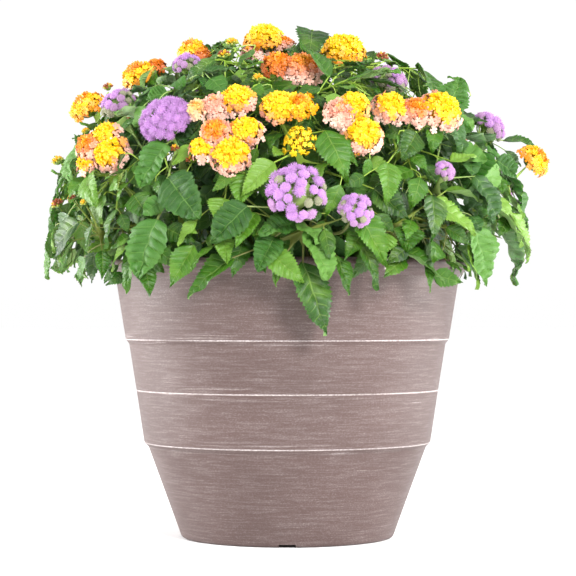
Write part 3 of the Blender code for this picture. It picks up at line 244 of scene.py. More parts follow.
@dataclass
class Head:
    """A flower head: its middle, the way that it faces, its radius and its colouring."""

    centre: Vector
    facing: Vector
    radius: float
    colouring: str = ""

    @property
    def seen_from(self):
        """The ways from which it is seen: out of the crown, level, and the way that it faces."""
        level = Vector((self.centre.x, self.centre.y, 0))
        level = level.normalized() if level.length > 0.08 else Vector((0, -1, 0))
        return outward(self.centre), (level + UP * 0.06).normalized(), self.facing


class Piece:
    """The points and faces of one object, with what its materials read at each point."""

    def __init__(self, name):
        self.name = name
        self.points, self.places, self.tints = [], [], []
        self.faces, self.slots = [], []
        self.count = 0

    def add(self, points, faces, slot=0, place=(0, 0, 0), tint=(1, 1, 1)):
        """Adds a shape, with one place and tint for all of it or one for each point."""
        points = np.asarray(points, float).reshape(-1, 3)
        self.points.append(points)
        self.places.append(np.broadcast_to(place, points.shape))
        self.tints.append(np.broadcast_to(tint, points.shape))
        self.faces += [tuple(corner + self.count for corner in face) for face in faces]
        self.slots += [slot] * len(faces)
        self.count += len(points)

    def build(self, finishes):
        """Makes the object, with one material for each slot."""
        data = bpy.data.meshes.new(self.name)
        data.from_pydata(np.concatenate(self.points).tolist(), [], self.faces)
        place = data.attributes.new("place", "FLOAT_VECTOR", "POINT")
        place.data.foreach_set("vector", np.concatenate(self.places).ravel())
        tint = data.attributes.new("tint", "FLOAT_COLOR", "POINT")
        colours = np.concatenate(self.tints)
        tint.data.foreach_set("color", np.hstack([colours, np.ones((len(colours), 1))]).ravel())
        for finish in finishes:
            data.materials.append(finish)
        data.polygons.foreach_set("material_index", self.slots)
        data.shade_smooth()
        data.set_sharp_from_angle(angle=math.radians(60))
        made = bpy.data.objects.new(self.name, data)
        bpy.context.scene.collection.objects.link(made)
        return made


def outward(point):
    """The way out of the crown at a point."""
    rise = max(point.z - CROWN_BASE, 0.0)
    way = Vector((point.x / CROWN_X ** 2, point.y / CROWN_Y ** 2, rise / CROWN_TOP ** 2 + 1e-6))
    return way.normalized()


def crown_scale(height):
    """How wide the crown is at this height, as a share of its widest."""
    if height >= CROWN_BASE:
        return math.sqrt(max(0.0, 1 - ((height - CROWN_BASE) / CROWN_TOP) ** 2))
    drop = (CROWN_BASE - height) / (CROWN_BASE - SKIRT_LOW)
    return 1 - (1 - SKIRT_RADIUS / CROWN_Y) * min(drop, 1.0)


def crown_at(bearing, height, share=1.0):
    """A point of the crown at this bearing and height, this share of the way out from the axis."""
    turn = math.radians(bearing)
    wide = share * crown_scale(CROWN_BASE + (height - CROWN_BASE) / share if height > CROWN_BASE else height)
    return Vector((CROWN_X * wide * math.sin(turn), -CROWN_Y * wide * math.cos(turn), height))


def square_to(direction, axis):
    """Direction with its share along axis taken out."""
    flat = direction - axis * direction.dot(axis)
    return flat.normalized() if flat.length > 1e-6 else axis.orthogonal().normalized()


def basis(axis):
    """An axis and two sides square to it."""
    side = square_to(Vector((1, 0.1, 0)), axis)
    return np.array((side, axis.cross(side), axis))


def shown_at(point):
    """The column and row at which the photograph shows a point."""
    scale = METRES_PER_PIXEL * (point.y - EYE.y) / -EYE.y
    return AXIS_COLUMN + point.x / scale, HORIZON_ROW - (point.z - EYE.z) / scale


# Reading the frame's meshes


def welded(name):
    """A node's mesh with its faces joined."""
    mesh = bmesh.new()
    mesh.from_mesh(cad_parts[name].data)
    bmesh.ops.remove_doubles(mesh, verts=mesh.verts, dist=SAME_PLACE)
    return mesh


def neighbours(vertex):
    """A vertex's neighbours, always in the same order, so that every run makes the same shapes."""
    return sorted((edge.other_vert(vertex) for edge in vertex.link_edges),
                  key=lambda other: other.co.dot(READING_WAY))


def read_blade(tip, kind):
    """The blade that ends at this vertex, or nothing where none does."""
    around = neighbours(tip)
    if len(around) != 4:
        return None
    ribs = [pair for pair in combinations(around, 2)
            if abs((pair[0].co - pair[1].co).length - RIB_THICKNESS) < SAME_LENGTH]
    if len(ribs) != 1:
        return None
    top, bottom = ribs[0]
    left, right = (vertex for vertex in around if vertex not in (top, bottom))
    near, far = sorted(((left.co - tip.co).length, (right.co - tip.co).length))
    rims = set(neighbours(top)) & set(neighbours(bottom)) - {tip}
    if len(rims) != 6 or far > 1.02 * near or (top.co - tip.co).length < SHORTEST_RIB:
        return None
    middle = (top.co + bottom.co) / 2
    chord = tip.co - middle
    normal = (top.co - bottom.co).normalized()
    if normal.dot(left.co + right.co - 2 * middle - chord) < 0:
        normal = -normal
    ahead = square_to(chord, normal)
    arch = math.atan2(-chord.dot(normal), chord.dot(ahead)) / ((1 - RIB_STATION) / 2)
    side = ahead.cross(normal)
    turn = arch * RIB_STATION
    up = normal * math.cos(turn) - ahead * math.sin(turn)
    along = normal * math.sin(turn) + ahead * math.cos(turn)
    bend = chord.length / (2 * math.sin(arch * (1 - RIB_STATION) / 2))
    base = middle - along * (bend * math.sin(turn)) + up * (bend * (1 - math.cos(turn)))
    found = []
    for u, share in LAST_RIMS[kind]:
        angle = arch * u
        on_rib = base + along * (bend * math.sin(angle)) - up * (bend * (1 - math.cos(angle)))
        here = left.co - on_rib
        out = abs(side.dot(here))
        fold = math.atan2(here.dot(up * math.cos(angle) + along * math.sin(angle)), out)
        error = abs(here.dot(along * math.cos(angle) - up * math.sin(angle)))
        found.append((error, 2 * out / math.cos(fold) / share, fold))
    _, width, fold = min(found)
    return Leaf(kind, base, along, up, bend * arch, width, arch, fold)


def blade_vertices(tip, leaf):
    """The vertices of a blade beyond its petiole's end."""
    found, ends = {tip}, [tip]
    while ends:
        for vertex in neighbours(ends.pop()):
            if vertex not in found and (vertex.co - leaf.base).dot(leaf.along) > 0.10 * leaf.length:
                found.add(vertex)
                ends.append(vertex)
    return found


def read_ring(apex, lobes):
    """A lobed ring round an apex, as the middles and radii of its tips and of its notches, or nothing."""
    around = neighbours(apex)
    if len(around) != 2 * lobes:
        return None
    middle = sum((v.co for v in around), Vector()) / len(around)
    axis = apex.co - middle
    if axis.length < 1e-5:
        return None
    axis.normalize()
    side = square_to(around[0].co - middle, axis)
    other = axis.cross(side)
    around.sort(key=lambda v: math.atan2((v.co - middle).dot(other), (v.co - middle).dot(side)))
    rings = []
    for half in (around[0::2], around[1::2]):
        centre = sum((v.co for v in half), Vector()) / lobes
        radii = [(v.co - centre).length for v in half]
        if max(radii) - min(radii) > SAME_LENGTH:
            return None
        rings.append((sum(radii) / lobes, centre))
    (inner, low), (outer, high) = sorted(rings, key=lambda ring: ring[0])
    return outer, high, inner, low, around


def read_bud(apex):
    """The bud with this apex, as its middle, facing, radius and vertices, or nothing."""
    ring = read_ring(apex, 4)
    if not ring:
        return None
    radius, high, inner, low, around = ring
    facing = high - low
    if abs(inner / radius - 0.66) > 0.01 or abs(facing.length / radius - 0.25) > 0.01:
        return None
    facing.normalize()
    if (apex.co - high).dot(facing) < 0:
        return None
    return high - facing * radius * 0.35, facing, radius, {apex, *around}


def read_heads(mesh):
    """The lantana heads of a bloom: each shows as a point joined to most of a tier of lobes."""
    heads = []
    for end in mesh.verts:
        spans = [((v.co - end.co).length, v.co) for v in neighbours(end)]
        for lobes, polar, offset, least, most in HEAD_ENDS:
            notch = polar + 0.10
            rise = offset - HEAD_HEIGHT * math.cos(polar)
            tip_span = math.hypot(math.sin(polar), rise)
            notch_rise = offset - NOTCH_REACH * HEAD_HEIGHT * math.cos(notch)
            notch_span = math.hypot(NOTCH_REACH * math.sin(notch), notch_rise)
            for span, _ in spans:
                radius = span / tip_span
                tips = [place for away, place in spans if abs(away - span) < SAME_SPAN]
                notches = [place for away, place in spans if abs(away - radius * notch_span) < SAME_SPAN]
                if least < radius <= most and len(tips) >= lobes - 1 and len(notches) >= lobes - 2:
                    middle = sum(tips, Vector()) / len(tips)
                    facing = Vector(np.linalg.svd(np.array([tip - middle for tip in tips]))[2][2])
                    facing *= math.copysign(1, facing.dot(end.co - middle) * rise)
                    centre = end.co - facing * radius * offset
                    if all((head.centre - centre).length > 0.3 * radius for head in heads):
                        heads.append(Head(centre, facing, radius))
                    break
    return heads


def read_pompom_head(name):
    """The ageratum head that fills a node."""
    points = np.array([v.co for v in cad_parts[name].data.vertices])
    middle = Vector((points.min(0) + points.max(0)) / 2)
    facing = (outward(middle) * 0.9 + UP * 0.35).normalized()
    side, other, axis = basis(facing)
    spans = [(points @ way).min() + (points @ way).max() for way in (side, other)]
    reach = max(np.ptp(points @ side), np.ptp(points @ other)) / 2
    along = ((points @ axis).min() + (points @ axis).max()) / 2
    return Head(Vector(side * spans[0] / 2 + other * spans[1] / 2 + axis * along), facing, reach)


# Blades


def half_width(u, kind):
    """How wide a blade is at u, as a share of its widest."""
    shape = BLADES[kind]
    low = np.clip(1 - (1 - u / shape["widest"]) ** 2, 0, 1) ** shape["swell"]
    past = np.clip((u - shape["widest"]) / (1 - shape["widest"]), 0, 1)
    high = np.clip(1 - past ** shape["taper"], 0, 1) ** shape["point"]
    return np.where(u < shape["widest"], np.maximum(low, 0.05), high)


def blade_shape(leaf, grid, rng):
    """A closed blade: its points, the faces of its top and of its underside, and each point's place on it."""
    shape = BLADES[leaf.kind]
    rows, shares = grid
    across = np.array([-s for s in reversed(shares[1:])] + list(shares))
    v = np.broadcast_to(across, (rows, len(across)))
    row = np.arange(rows)[:, None]
    u = np.broadcast_to(row / rows, v.shape)
    u = u + shape["slant"] * np.abs(v) * np.minimum(1, u / 0.15) * np.sqrt(1 - u) * (1 - u) ** 0.3
    step = row % shape["rows_per_tooth"]
    out = np.where(step > 0, 1.0, -0.4) * np.minimum(1, row / 3)
    edge = np.clip((np.abs(v) - 0.6) / 0.4, 0, 1)
    half = leaf.width / 2
    reach = v * half_width(u, leaf.kind) * (1 + shape["tooth"] * out * edge)
    u = np.clip(u + shape["jut"] / rows * (step == 1) * edge * (row > 0), 0, 1)
    phase = row / shape["vein_rows"]
    soft = half * 0.10
    fold = math.sin(leaf.fold) * (np.sqrt((reach * half) ** 2 + soft ** 2) - soft)
    swell = np.sin(math.pi * np.clip(np.abs(v) * 1.02, 0, 1)) ** 0.6
    bulge = (np.abs(np.sin(math.pi * phase)) ** 0.7 - 0.5) * swell
    start, turns = rng.uniform(0, math.tau), rng.uniform(1.0, 1.7)
    wave = np.abs(v) ** 2 * np.sin(math.tau * turns * u + start + math.pi * (v > 0) * rng.uniform(0, 1))
    groove = -0.05 * np.exp(-(v / 0.10) ** 2) * np.sin(math.pi * np.clip(u * 1.1, 0, 1))
    droop = -0.10 * np.abs(v) ** 3
    first, second = rng.uniform(0, math.tau), rng.uniform(0, math.tau)
    crinkle = np.sin(math.tau * (1.9 * u + 0.5 * v) + first) * np.sin(math.tau * (0.6 * v - 1.1 * u) + second)
    outer = np.sqrt(u)
    relief = shape["quilt"] * bulge + shape["wave"] * wave * outer + shape["crinkle"] * crinkle * outer
    lift = fold + half * (relief + groove + droop)
    turn = leaf.arch * u
    bend = leaf.length / leaf.arch
    along, up = np.array(leaf.along), np.array(leaf.up)
    side = np.cross(along, up)
    up_here = up * np.cos(turn)[..., None] + along * np.sin(turn)[..., None]
    forward, down = bend * np.sin(turn), bend * (1 - np.cos(turn))
    points = (
        np.array(leaf.base) + along * forward[..., None] - up * down[..., None]
        + side * (reach * half * math.cos(leaf.fold))[..., None] + up_here * lift[..., None]
    )
    thick = BLADE_THICKNESS + RIB_DEPTH * np.exp(-(v / 0.10) ** 2) * (1 - 0.7 * u)
    under = points - up_here * thick[..., None]
    columns = len(across)
    tip = np.array(leaf.base) + along * bend * math.sin(leaf.arch) - up * bend * (1 - math.cos(leaf.arch))
    last = rows * columns
    number = np.arange(last).reshape(rows, columns)
    inner = number.copy()
    inner[1:, 1:-1] = last + 1 + np.arange((rows - 1) * (columns - 2)).reshape(rows - 1, columns - 2)
    top, bottom = [], []
    for side_numbers, faces in ((number, top), (inner, bottom)):
        a, b = side_numbers[:-1, :-1].ravel(), side_numbers[:-1, 1:].ravel()
        c, d = side_numbers[1:, 1:].ravel(), side_numbers[1:, :-1].ravel()
        for p, q, r, s in zip(a.tolist(), b.tolist(), c.tolist(), d.tolist()):
            faces += [(p, q, r), (p, r, s)]
        end = side_numbers[-1]
        faces += [(int(p), int(q), last) for p, q in zip(end[:-1], end[1:])]
    bottom = [face[::-1] for face in bottom]
    place = np.stack([v, np.broadcast_to(phase, v.shape), np.full(v.shape, rng.random())], axis=-1)
    flat = np.concatenate([points.reshape(-1, 3), tip[None], under[1:, 1:-1].reshape(-1, 3)])
    tip_place = [(0, rows / shape["vein_rows"], place[0, 0, 2])]
    places = np.concatenate([place.reshape(-1, 3), tip_place, place[1:, 1:-1].reshape(-1, 3)])
    return flat, top, bottom, places


def add_blade(piece, leaf, grid, rng):
    """Adds a blade, its underside in a material of its own."""
    points, top, bottom, places = blade_shape(leaf, grid, rng)
    piece.add(points, top + bottom, 0, places)
    piece.slots[-len(bottom):] = [1] * len(bottom)


def tube(line, radii, sides=6):
    """A closed tube along points, as points and faces."""
    line = [Vector(point) for point in line]
    side = square_to(Vector((1, 0.2, 0.1)), (line[1] - line[0]).normalized())
    points, faces = [], []
    for i, (point, radius) in enumerate(zip(line, radii)):
        ahead = (line[min(i + 1, len(line) - 1)] - line[max(i - 1, 0)]).normalized()
        side = square_to(side, ahead)
        other = ahead.cross(side)
        for k in range(sides):
            angle = math.tau * k / sides
            points.append(point + (side * math.cos(angle) + other * math.sin(angle)) * radius)
    for i in range(len(line) - 1):
        for k in range(sides):
            a, b = i * sides + k, i * sides + (k + 1) % sides
            faces.append((a, b, b + sides, a + sides))
    faces.append(tuple(reversed(range(sides))))
    faces.append(tuple(range(len(points) - sides, len(points))))
    return points, faces


# Flowers


def dome_places(count, start, end, rng, wander=0.10):
    """Even places on a dome as (angle from its top, angle round it), between two angles from its top."""
    found = []
    for i in range(count):
        share = (i + 0.5) / count
        polar = math.acos(math.cos(start) + share * (math.cos(end) - math.cos(start)))
        polar = max(0.0, polar + rng.uniform(-wander, wander) * 0.5)
        found.append((polar, GOLDEN_ANGLE * i + rng.uniform(-wander, wander)))
    return found


def dome_ways(ways, polar, angle):
    """The level way and the way out of a dome, at an angle from its top and an angle round it."""
    side, other, axis = ways
    out = side * math.cos(angle) + other * math.sin(angle)
    return out, out * math.sin(polar) + axis * math.cos(polar)


def floret_template():
    """An open floret of five lobes on its tube, one unit from middle to lobe tip. The tube runs down -Z."""
    points = [(0, 0, -0.10)]
    for k in range(5):
        angle = math.tau * k / 5
        points.append((0.20 * math.cos(angle), 0.20 * math.sin(angle), 0.04))
    for k in range(10):
        angle = math.tau * k / 10
        reach = 0.62 if k % 2 == 0 else 0.34
        points.append((reach * math.cos(angle), reach * math.sin(angle), 0.12 if k % 2 == 0 else 0.05))
    for k in range(5):
        for offset, reach, rise in LOBE_RIM:
            angle = math.tau * k / 5 + offset
            points.append((reach * math.cos(angle), reach * math.sin(angle), rise))
    for reach, depth in ((0.15, -0.16), (0.11, TUBE_END)):
        for k in range(5):
            angle = math.tau * k / 5
            points.append((reach * math.cos(angle), reach * math.sin(angle), depth))
    faces = []
    for k in range(5):
        n = (k + 1) % 5
        faces.append((0, 1 + k, 1 + n))
        lobe, notch, lobe_next = 6 + 2 * k, 7 + 2 * k, 6 + 2 * n
        faces += [(1 + k, lobe, notch), (1 + k, notch, 1 + n), (1 + n, notch, lobe_next)]
        left, tip, right, gap = 16 + 4 * k, 17 + 4 * k, 18 + 4 * k, 19 + 4 * k
        gap_before = 16 + 4 * ((k - 1) % 5) + 3
        notch_before = 7 + 2 * ((k - 1) % 5)
        faces += [(notch_before, gap_before, left), (notch_before, left, lobe), (lobe, left, tip),
                  (lobe, tip, right), (lobe, right, notch), (notch, right, gap)]
        neck, neck_next = 36 + k, 36 + n
        faces += [(neck, left, gap_before), (neck, tip, left), (neck, right, tip), (neck, gap, right),
                  (neck, neck_next, gap)]
        end, end_next = 41 + k, 41 + n
        faces.append((neck, end, end_next, neck_next))
    faces.append((45, 44, 43, 42, 41))
    return np.array(points), faces


def young_floret_template():
    """A young floret of a head's middle: five broad lobes, ruffled up, that draw in to one point below."""
    points = [(0, 0, 0.0)]
    for k in range(5):
        for offset, reach, rise in YOUNG_RIM:
            angle = math.tau * k / 5 + offset
            points.append((reach * math.cos(angle), reach * math.sin(angle), rise))
    points.append((0, 0, TUBE_END))
    faces = []
    for k in range(20):
        n = (k + 1) % 20
        faces += [(0, 1 + k, 1 + n), (21, 1 + n, 1 + k)]
    return np.array(points), faces


OPEN_FLORET = floret_template()
FLORET_ZONES = ((young_floret_template(), *YOUNG_ZONE), (OPEN_FLORET, *OPEN_ZONE))


def colour_at(colouring, share):
    """The petal colour at this share of the way from a head's middle to its edge."""
    stops = COLOURINGS[colouring]
    return np.array([np.interp(share, [s for s, _ in stops], [c[i] for _, c in stops]) for i in range(3)])


def add_floret(piece, template, place, normal, size, length, colour, cup, rng):
    """One floret, facing normal, its lobes cupped up or bent back."""
    points, faces = template
    spin = rng.uniform(0, math.tau)
    turn = np.array(((math.cos(spin), math.sin(spin), 0), (-math.sin(spin), math.cos(spin), 0), (0, 0, 1)))
    share = np.clip(np.hypot(points[:, 0], points[:, 1]), 0, 1)
    shape = points.copy()
    face = shape[:, 2] > -0.12
    shape[face, 2] += cup * share[face] ** 2
    shape[:, :2] *= size
    shape[face, 2] *= size
    shape[~face, 2] *= -length / TUBE_END
    shape = (shape @ turn) @ basis(normal) + np.array(place)
    throat = np.exp(-(share / 0.25) ** 2)[:, None]
    tint = colour * (1 - throat * 0.30 * np.array((0.1, 0.8, 1.0))) * rng.uniform(0.90, 1.08)
    tint = np.where(face[:, None], tint, tint * 0.8)
    piece.add(shape, faces, 0, tint=np.clip(tint, 0, 1))


def core_shape(head, share, flat):
    """A lumpy core under a head's florets, as points and faces."""
    mesh = bmesh.new()
    bmesh.ops.create_icosphere(mesh, subdivisions=2, radius=1.0)
    ways = basis(head.facing)
    points = np.array([v.co for v in mesh.verts])
    x, y, z = points.T
    ripple = 1 + 0.05 * np.sin(9 * x + 3) * np.sin(11 * y) * np.sin(8 * z + 1)
    shape = (points * ripple[:, None] * (1, 1, flat)) @ ways * head.radius * share + np.array(head.centre)
    faces = [tuple(v.index for v in face.verts) for face in mesh.faces]
    mesh.free()
    return shape, faces


def add_lantana_head(piece, head, rng):
    """A head: ruffled young florets on its dome, open ones splayed round its edge, and a deeper middle."""
    loose = head.colouring == "loose"
    ways = basis(head.facing)
    axis = ways[2]
    middle = np.array(head.centre)
    for template, start, end, spacing, size, share_out in FLORET_ZONES:
        if loose:
            template, spacing, size = OPEN_FLORET, spacing * 1.4, size * 0.85
        area = math.tau * head.radius ** 2 * (math.cos(start) - math.cos(end)) * 0.82
        for polar, angle in dome_places(max(5, round(area / spacing ** 2 / 0.95)), start, end, rng):
            share = min(polar / HEAD_WIDEST, 1.0)
            low = max(0.0, (share - 0.55) / 0.45)
            out, way = dome_ways(ways, polar, angle)
            reach = head.radius * (share_out + 0.10 * low * low) * (1 + rng.uniform(-0.12, 0.12))
            place = middle + (out * math.sin(polar) + axis * (math.cos(polar) * HEAD_HEIGHT)) * reach
            tilt = np.array([rng.uniform(-0.5, 0.5) for _ in range(3)])
            normal = Vector(way + axis * 0.45 * low + tilt).normalized()
            cup = 0.50 - 0.70 * share + rng.uniform(-0.25, 0.25)
            colour = colour_at(head.colouring, min(max(share + rng.uniform(-0.10, 0.10), 0.0), 1.0))
            depth = reach * (0.75 if loose else 0.40)
            grown = size * rng.uniform(0.85, 1.15)
            add_floret(piece, template, place, normal, grown, depth, colour, cup, rng)
    points, faces = core_shape(head, 0.30 if loose else 0.74, 0.80)
    below = ((points - middle) @ axis / head.radius)[:, None]
    deep = colour_at(head.colouring, 0.45) * np.array((0.80, 0.62, 0.5))
    tint = np.where(below > -0.15, deep, np.array(CUP_GREEN))
    piece.add(points, faces, 0, tint=tint)


def add_pompom(piece, centre, facing, radius, openness, rng):
    """One ageratum button: a green cup, a violet middle and threads that stand out of it."""
    ways = basis(facing)
    mesh = bmesh.new()
    bmesh.ops.create_icosphere(mesh, subdivisions=2, radius=1.0)
    points = np.array([v.co for v in mesh.verts])
    faces = [tuple(v.index for v in face.verts) for face in mesh.faces]
    mesh.free()
    flat = np.where(points[:, 2] > 0, 0.62, 0.95)
    shape = points * np.stack([np.ones(len(points)), np.ones(len(points)), flat], axis=1) * radius * 0.74
    fluffy = openness > 0.7
    tone = VIOLET if openness > 0.45 else LILAC if openness > 0.15 else BUD_CREAM
    petal = np.array(tone) * rng.uniform(0.86, 1.08)
    deep = petal * 0.80
    cup = np.clip((-points[:, 2:3] - 0.05) / 0.25, 0, 1)
    piece.add(shape @ ways + np.array(centre), faces, 0, tint=deep * (1 - cup) + np.array(CUP_GREEN) * cup)
    threads = 84 if fluffy else 56
    for polar, angle in dome_places(threads, 0, 1.75, rng, 0.16):
        level = math.sin(polar)
        out = np.array((math.cos(angle) * level, math.sin(angle) * level, math.cos(polar)))
        long = (0.46 if fluffy else 0.19) * rng.uniform(0.70, 1.25)
        root = out * (0.66, 0.66, 0.42 if polar < 1.57 else 0.66)
        bow = np.array([rng.uniform(-1, 1) for _ in range(3)]) * (0.10 if fluffy else 0.03)
        middle, tip = root + out * long * 0.6 + bow * 0.4, root + out * long + bow
        wide = 0.045 if fluffy else 0.070
        side = np.cross(out, (0.3, 0.2, 1.0))
        side = side / np.linalg.norm(side)
        other = np.cross(out, side)
        corners = [side, -0.5 * side + 0.87 * other, -0.5 * side - 0.87 * other]
        thread = [root + c * wide for c in corners] + [middle + c * wide * 0.9 for c in corners] + [tip]
        thread_faces = [(0, 1, 4, 3), (1, 2, 5, 4), (2, 0, 3, 5), (3, 4, 6), (4, 5, 6), (5, 3, 6)]
        tint = [deep] * 3 + [petal] * 3 + [np.minimum(petal * 1.12, 1.0)]
        piece.add(np.array(thread) * radius @ ways + np.array(centre), thread_faces, 0, tint=tint)


def add_ageratum_head(piece, head, openness, rng):
    """A flattened dome of buttons on branching stalks."""
    button = head.radius * (0.235 if head.radius > 0.026 else 0.30 if head.radius > 0.016 else 0.36)
    area = math.tau * head.radius ** 2 * (1 - math.cos(BUTTONS_WIDEST)) * 0.75
    count = round(area / (math.pi * button ** 2) * 1.08)
    ways = basis(head.facing)
    axis = ways[2]
    centre = np.array(head.centre)
    foot = head.centre - head.facing * head.radius * 0.42
    sag = head.facing * head.radius * 0.25
    for polar, angle in dome_places(count, 0, BUTTONS_WIDEST, rng, 0.16):
        radius = button * rng.uniform(0.78, 1.18)
        out, _ = dome_ways(ways, polar, angle)
        reach = head.radius - radius * 0.85
        place = centre + out * math.sin(polar) * reach + axis * (math.cos(polar) * 0.70 * reach)
        facing = Vector(out * math.sin(polar) + axis * (0.25 + math.cos(polar))).normalized()
        closing = 0.50 * (polar / BUTTONS_WIDEST) ** 2 * (openness < 0.9)
        opened = openness - closing + rng.uniform(-0.20, 0.20)
        if openness < 0.9 and polar > 0.7 and rng.random() < 0.16:
            opened = 0.1
            radius *= 0.8
        add_pompom(piece, place, facing, radius, opened, rng)
        end = Vector(place) - facing * radius * 0.5
        line = [foot.lerp(end, t) - sag * math.sin(math.pi * t) for t in (0, 0.35, 0.7, 1)]
        points, faces = tube(line, (0.0010, 0.0008, 0.0007, 0.0007), 5)
        piece.add(points, faces, 1, tint=STALK_GREEN)
    points, faces = core_shape(head, 0.50, 0.62)
    piece.add(points, faces, 1, tint=CUP_GREEN)


def add_bud(piece, centre, facing, radius, rng):
    """A young or fading lantana head: a tight cluster of knobs on a green cup."""
    ways = basis(facing)
    faded = rng.random() < 0.35
    for polar, angle in dome_places(16, 0, 1.5, rng):
        _, way = dome_ways(ways, polar, angle)
        root = np.array(centre) + way * radius * 0.25
        tip = np.array(centre) + way * radius * 0.98
        fresh = BUD_GREEN if polar > 1.05 else BUD_GOLD
        colour = np.array(BUD_BROWN if faded and rng.random() < 0.6 else fresh)
        middle = root * 0.45 + tip * 0.55
        points, faces = tube((root, middle, tip), (radius * 0.10, radius * 0.20, radius * 0.12), 5)
        piece.add(points, faces, 3, tint=[CUP_GREEN] * 5 + [colour] * 5 + [colour * 1.05] * 5)
    points, faces = core_shape(Head(Vector(centre), facing, radius), 0.50, 0.8)
    piece.add(points, faces, 3, tint=CUP_GREEN)


# Materials


class Finish:
    """One procedural material, as a graph of nodes that ends in its Principled BSDF."""

    def __init__(self, name, **constants):
        self.material = bpy.data.materials.new(name)
        self.material.use_nodes = True
        self.tree = self.material.node_tree
        self.shader = self.tree.nodes["Principled BSDF"]
        for socket, value in constants.items():
            self.shader.inputs[socket.replace("_", " ")].default_value = value

    def node(self, kind, inputs, output=0, **settings):
        """Adds a node with each input linked or set, and gives one of its outputs."""
        made = self.tree.nodes.new(kind)
        for key, value in settings.items():
            setattr(made, key, value)
        for key, value in inputs.items():
            if isinstance(value, bpy.types.NodeSocket):
                self.tree.links.new(value, made.inputs[key])
            else:
                made.inputs[key].default_value = value
        return made.outputs[output]

    def math(self, operation, a, b=0.0, c=0.0):
        return self.node("ShaderNodeMath", {0: a, 1: b, 2: c}, operation=operation)

    def plus(self, a, b):
        return self.math("ADD", a, b)

    def less(self, a, b):
        return self.math("SUBTRACT", a, b)

    def times(self, a, b):
        return self.math("MULTIPLY", a, b)

    def most(self, a, b):
        return self.math("MAXIMUM", a, b)

    def apart(self, a, b):
        """How far apart two values are."""
        return self.math("ABSOLUTE", self.less(a, b))

    def between(self, value, low, high):
        """0 at low and 1 at high, with soft ends."""
        kept = {"Value": value, "From Min": low, "From Max": high}
        return self.node("ShaderNodeMapRange", kept, interpolation_type="SMOOTHSTEP")

    def mix(self, share, a, b, blend="MIX"):
        """Two colours mixed, each a socket or a tone."""
        a, b = (value if isinstance(value, bpy.types.NodeSocket) else (*value, 1.0) for value in (a, b))
        return self.node("ShaderNodeMix", {0: share, 6: a, 7: b}, 2, data_type="RGBA", blend_type=blend)

    def attribute(self, name, output):
        return self.node("ShaderNodeAttribute", {}, output, attribute_name=name)

    def place(self):
        return self.node("ShaderNodeTexCoord", {}, "Object")

    def split(self, vector):
        made = self.tree.nodes.new("ShaderNodeSeparateXYZ")
        self.tree.links.new(vector, made.inputs[0])
        return made.outputs

    def vector(self, operation, a, b=(0, 0, 0), output=0):
        return self.node("ShaderNodeVectorMath", {0: a, 1: b}, output, operation=operation)

    def stretched(self, scale):
        """The place on the object, scaled along each axis, so that noise comes out long or short."""
        return self.vector("MULTIPLY", self.place(), scale)

    def noise(self, vector, scale, detail=3.0, roughness=0.55):
        kept = {"Vector": vector, "Scale": scale, "Detail": detail, "Roughness": roughness}
        return self.node("ShaderNodeTexNoise", kept, "Fac")

    def finish(self, colour=None, roughness=None, height=None, bump=0.3, depth=0.001):
        """Links what is given to the shader, and gives the material."""
        if colour is not None:
            self.tree.links.new(colour, self.shader.inputs["Base Color"])
        if roughness is not None:
            self.tree.links.new(roughness, self.shader.inputs["Roughness"])
        if height is not None:
            normal = self.node("ShaderNodeBump", {"Strength": bump, "Distance": depth, "Height": height})
            self.tree.links.new(normal, self.shader.inputs["Normal"])
        return self.material


def leaf_finish(name, dark, light, young, vein, vein_share, gloss):
    """A leaf's skin: a tone for each leaf, with painted shade that darkens it deeper inside the crown and
    painted sheen patches, mottled, with its rib and veins.
    """
    dark, light, young, vein = (srgb(*tone) for tone in (dark, light, young, vein))
    skin = Finish(name, Specular_IOR_Level=0.32, Subsurface_Weight=0.08, **THIN_GREEN)
    across, phase, chance = skin.split(skin.attribute("place", "Vector"))
    away = skin.math("ABSOLUTE", across)
    rib = skin.between(away, 0.060, 0.015)
    near = skin.apart(skin.math("FRACT", skin.plus(phase, 0.5)), 0.5)
    side = skin.times(skin.between(near, 0.10, 0.015), skin.between(away, 0.95, 0.6))
    where = skin.place()
    cells = skin.node(
        "ShaderNodeTexVoronoi", {"Vector": where, "Scale": 520.0}, "Distance", feature="DISTANCE_TO_EDGE")
    net = skin.between(cells, 0.09, 0.0)
    veins = skin.most(rib, skin.most(skin.times(side, 0.75), skin.times(net, 0.28)))
    mottle = skin.noise(where, 90.0, 4.0)
    tone = skin.less(skin.plus(skin.times(chance, 0.85), skin.times(mottle, 0.6)), 0.28)
    # Painted sheen: broad pale patches mixed towards the young tone stand in for glossy reflections; fresh
    # carries both the young leaves' own tone and this painted sheen
    painted_sheen = skin.between(skin.noise(where, 26.0, 2.0), 0.52, 0.72)
    fresh = skin.most(skin.between(chance, 0.74, 0.96), skin.times(painted_sheen, 0.5))
    green = skin.mix(skin.times(fresh, 0.75), skin.mix(tone, dark, light), young)
    # Painted shade: each leaf is mixed towards its dark tone the deeper inside the crown it lies
    middle = skin.vector("SUBTRACT", where, (0, 0, CROWN_BASE))
    scaled = skin.vector("MULTIPLY", middle, (1 / CROWN_X, 1 / CROWN_Y, 1 / CROWN_TOP))
    inside = skin.between(skin.vector("LENGTH", scaled, output="Value"), 0.98, 0.70)
    colour = skin.mix(skin.times(veins, vein_share), green, vein)
    colour = skin.mix(skin.times(inside, 0.65), colour, dark)
    rough = skin.plus(skin.times(mottle, 0.25), gloss)
    height = skin.less(skin.times(skin.noise(where, 600.0, 2.0), 0.5), veins)
    return skin.finish(colour, rough, height, 0.7, 0.0007)


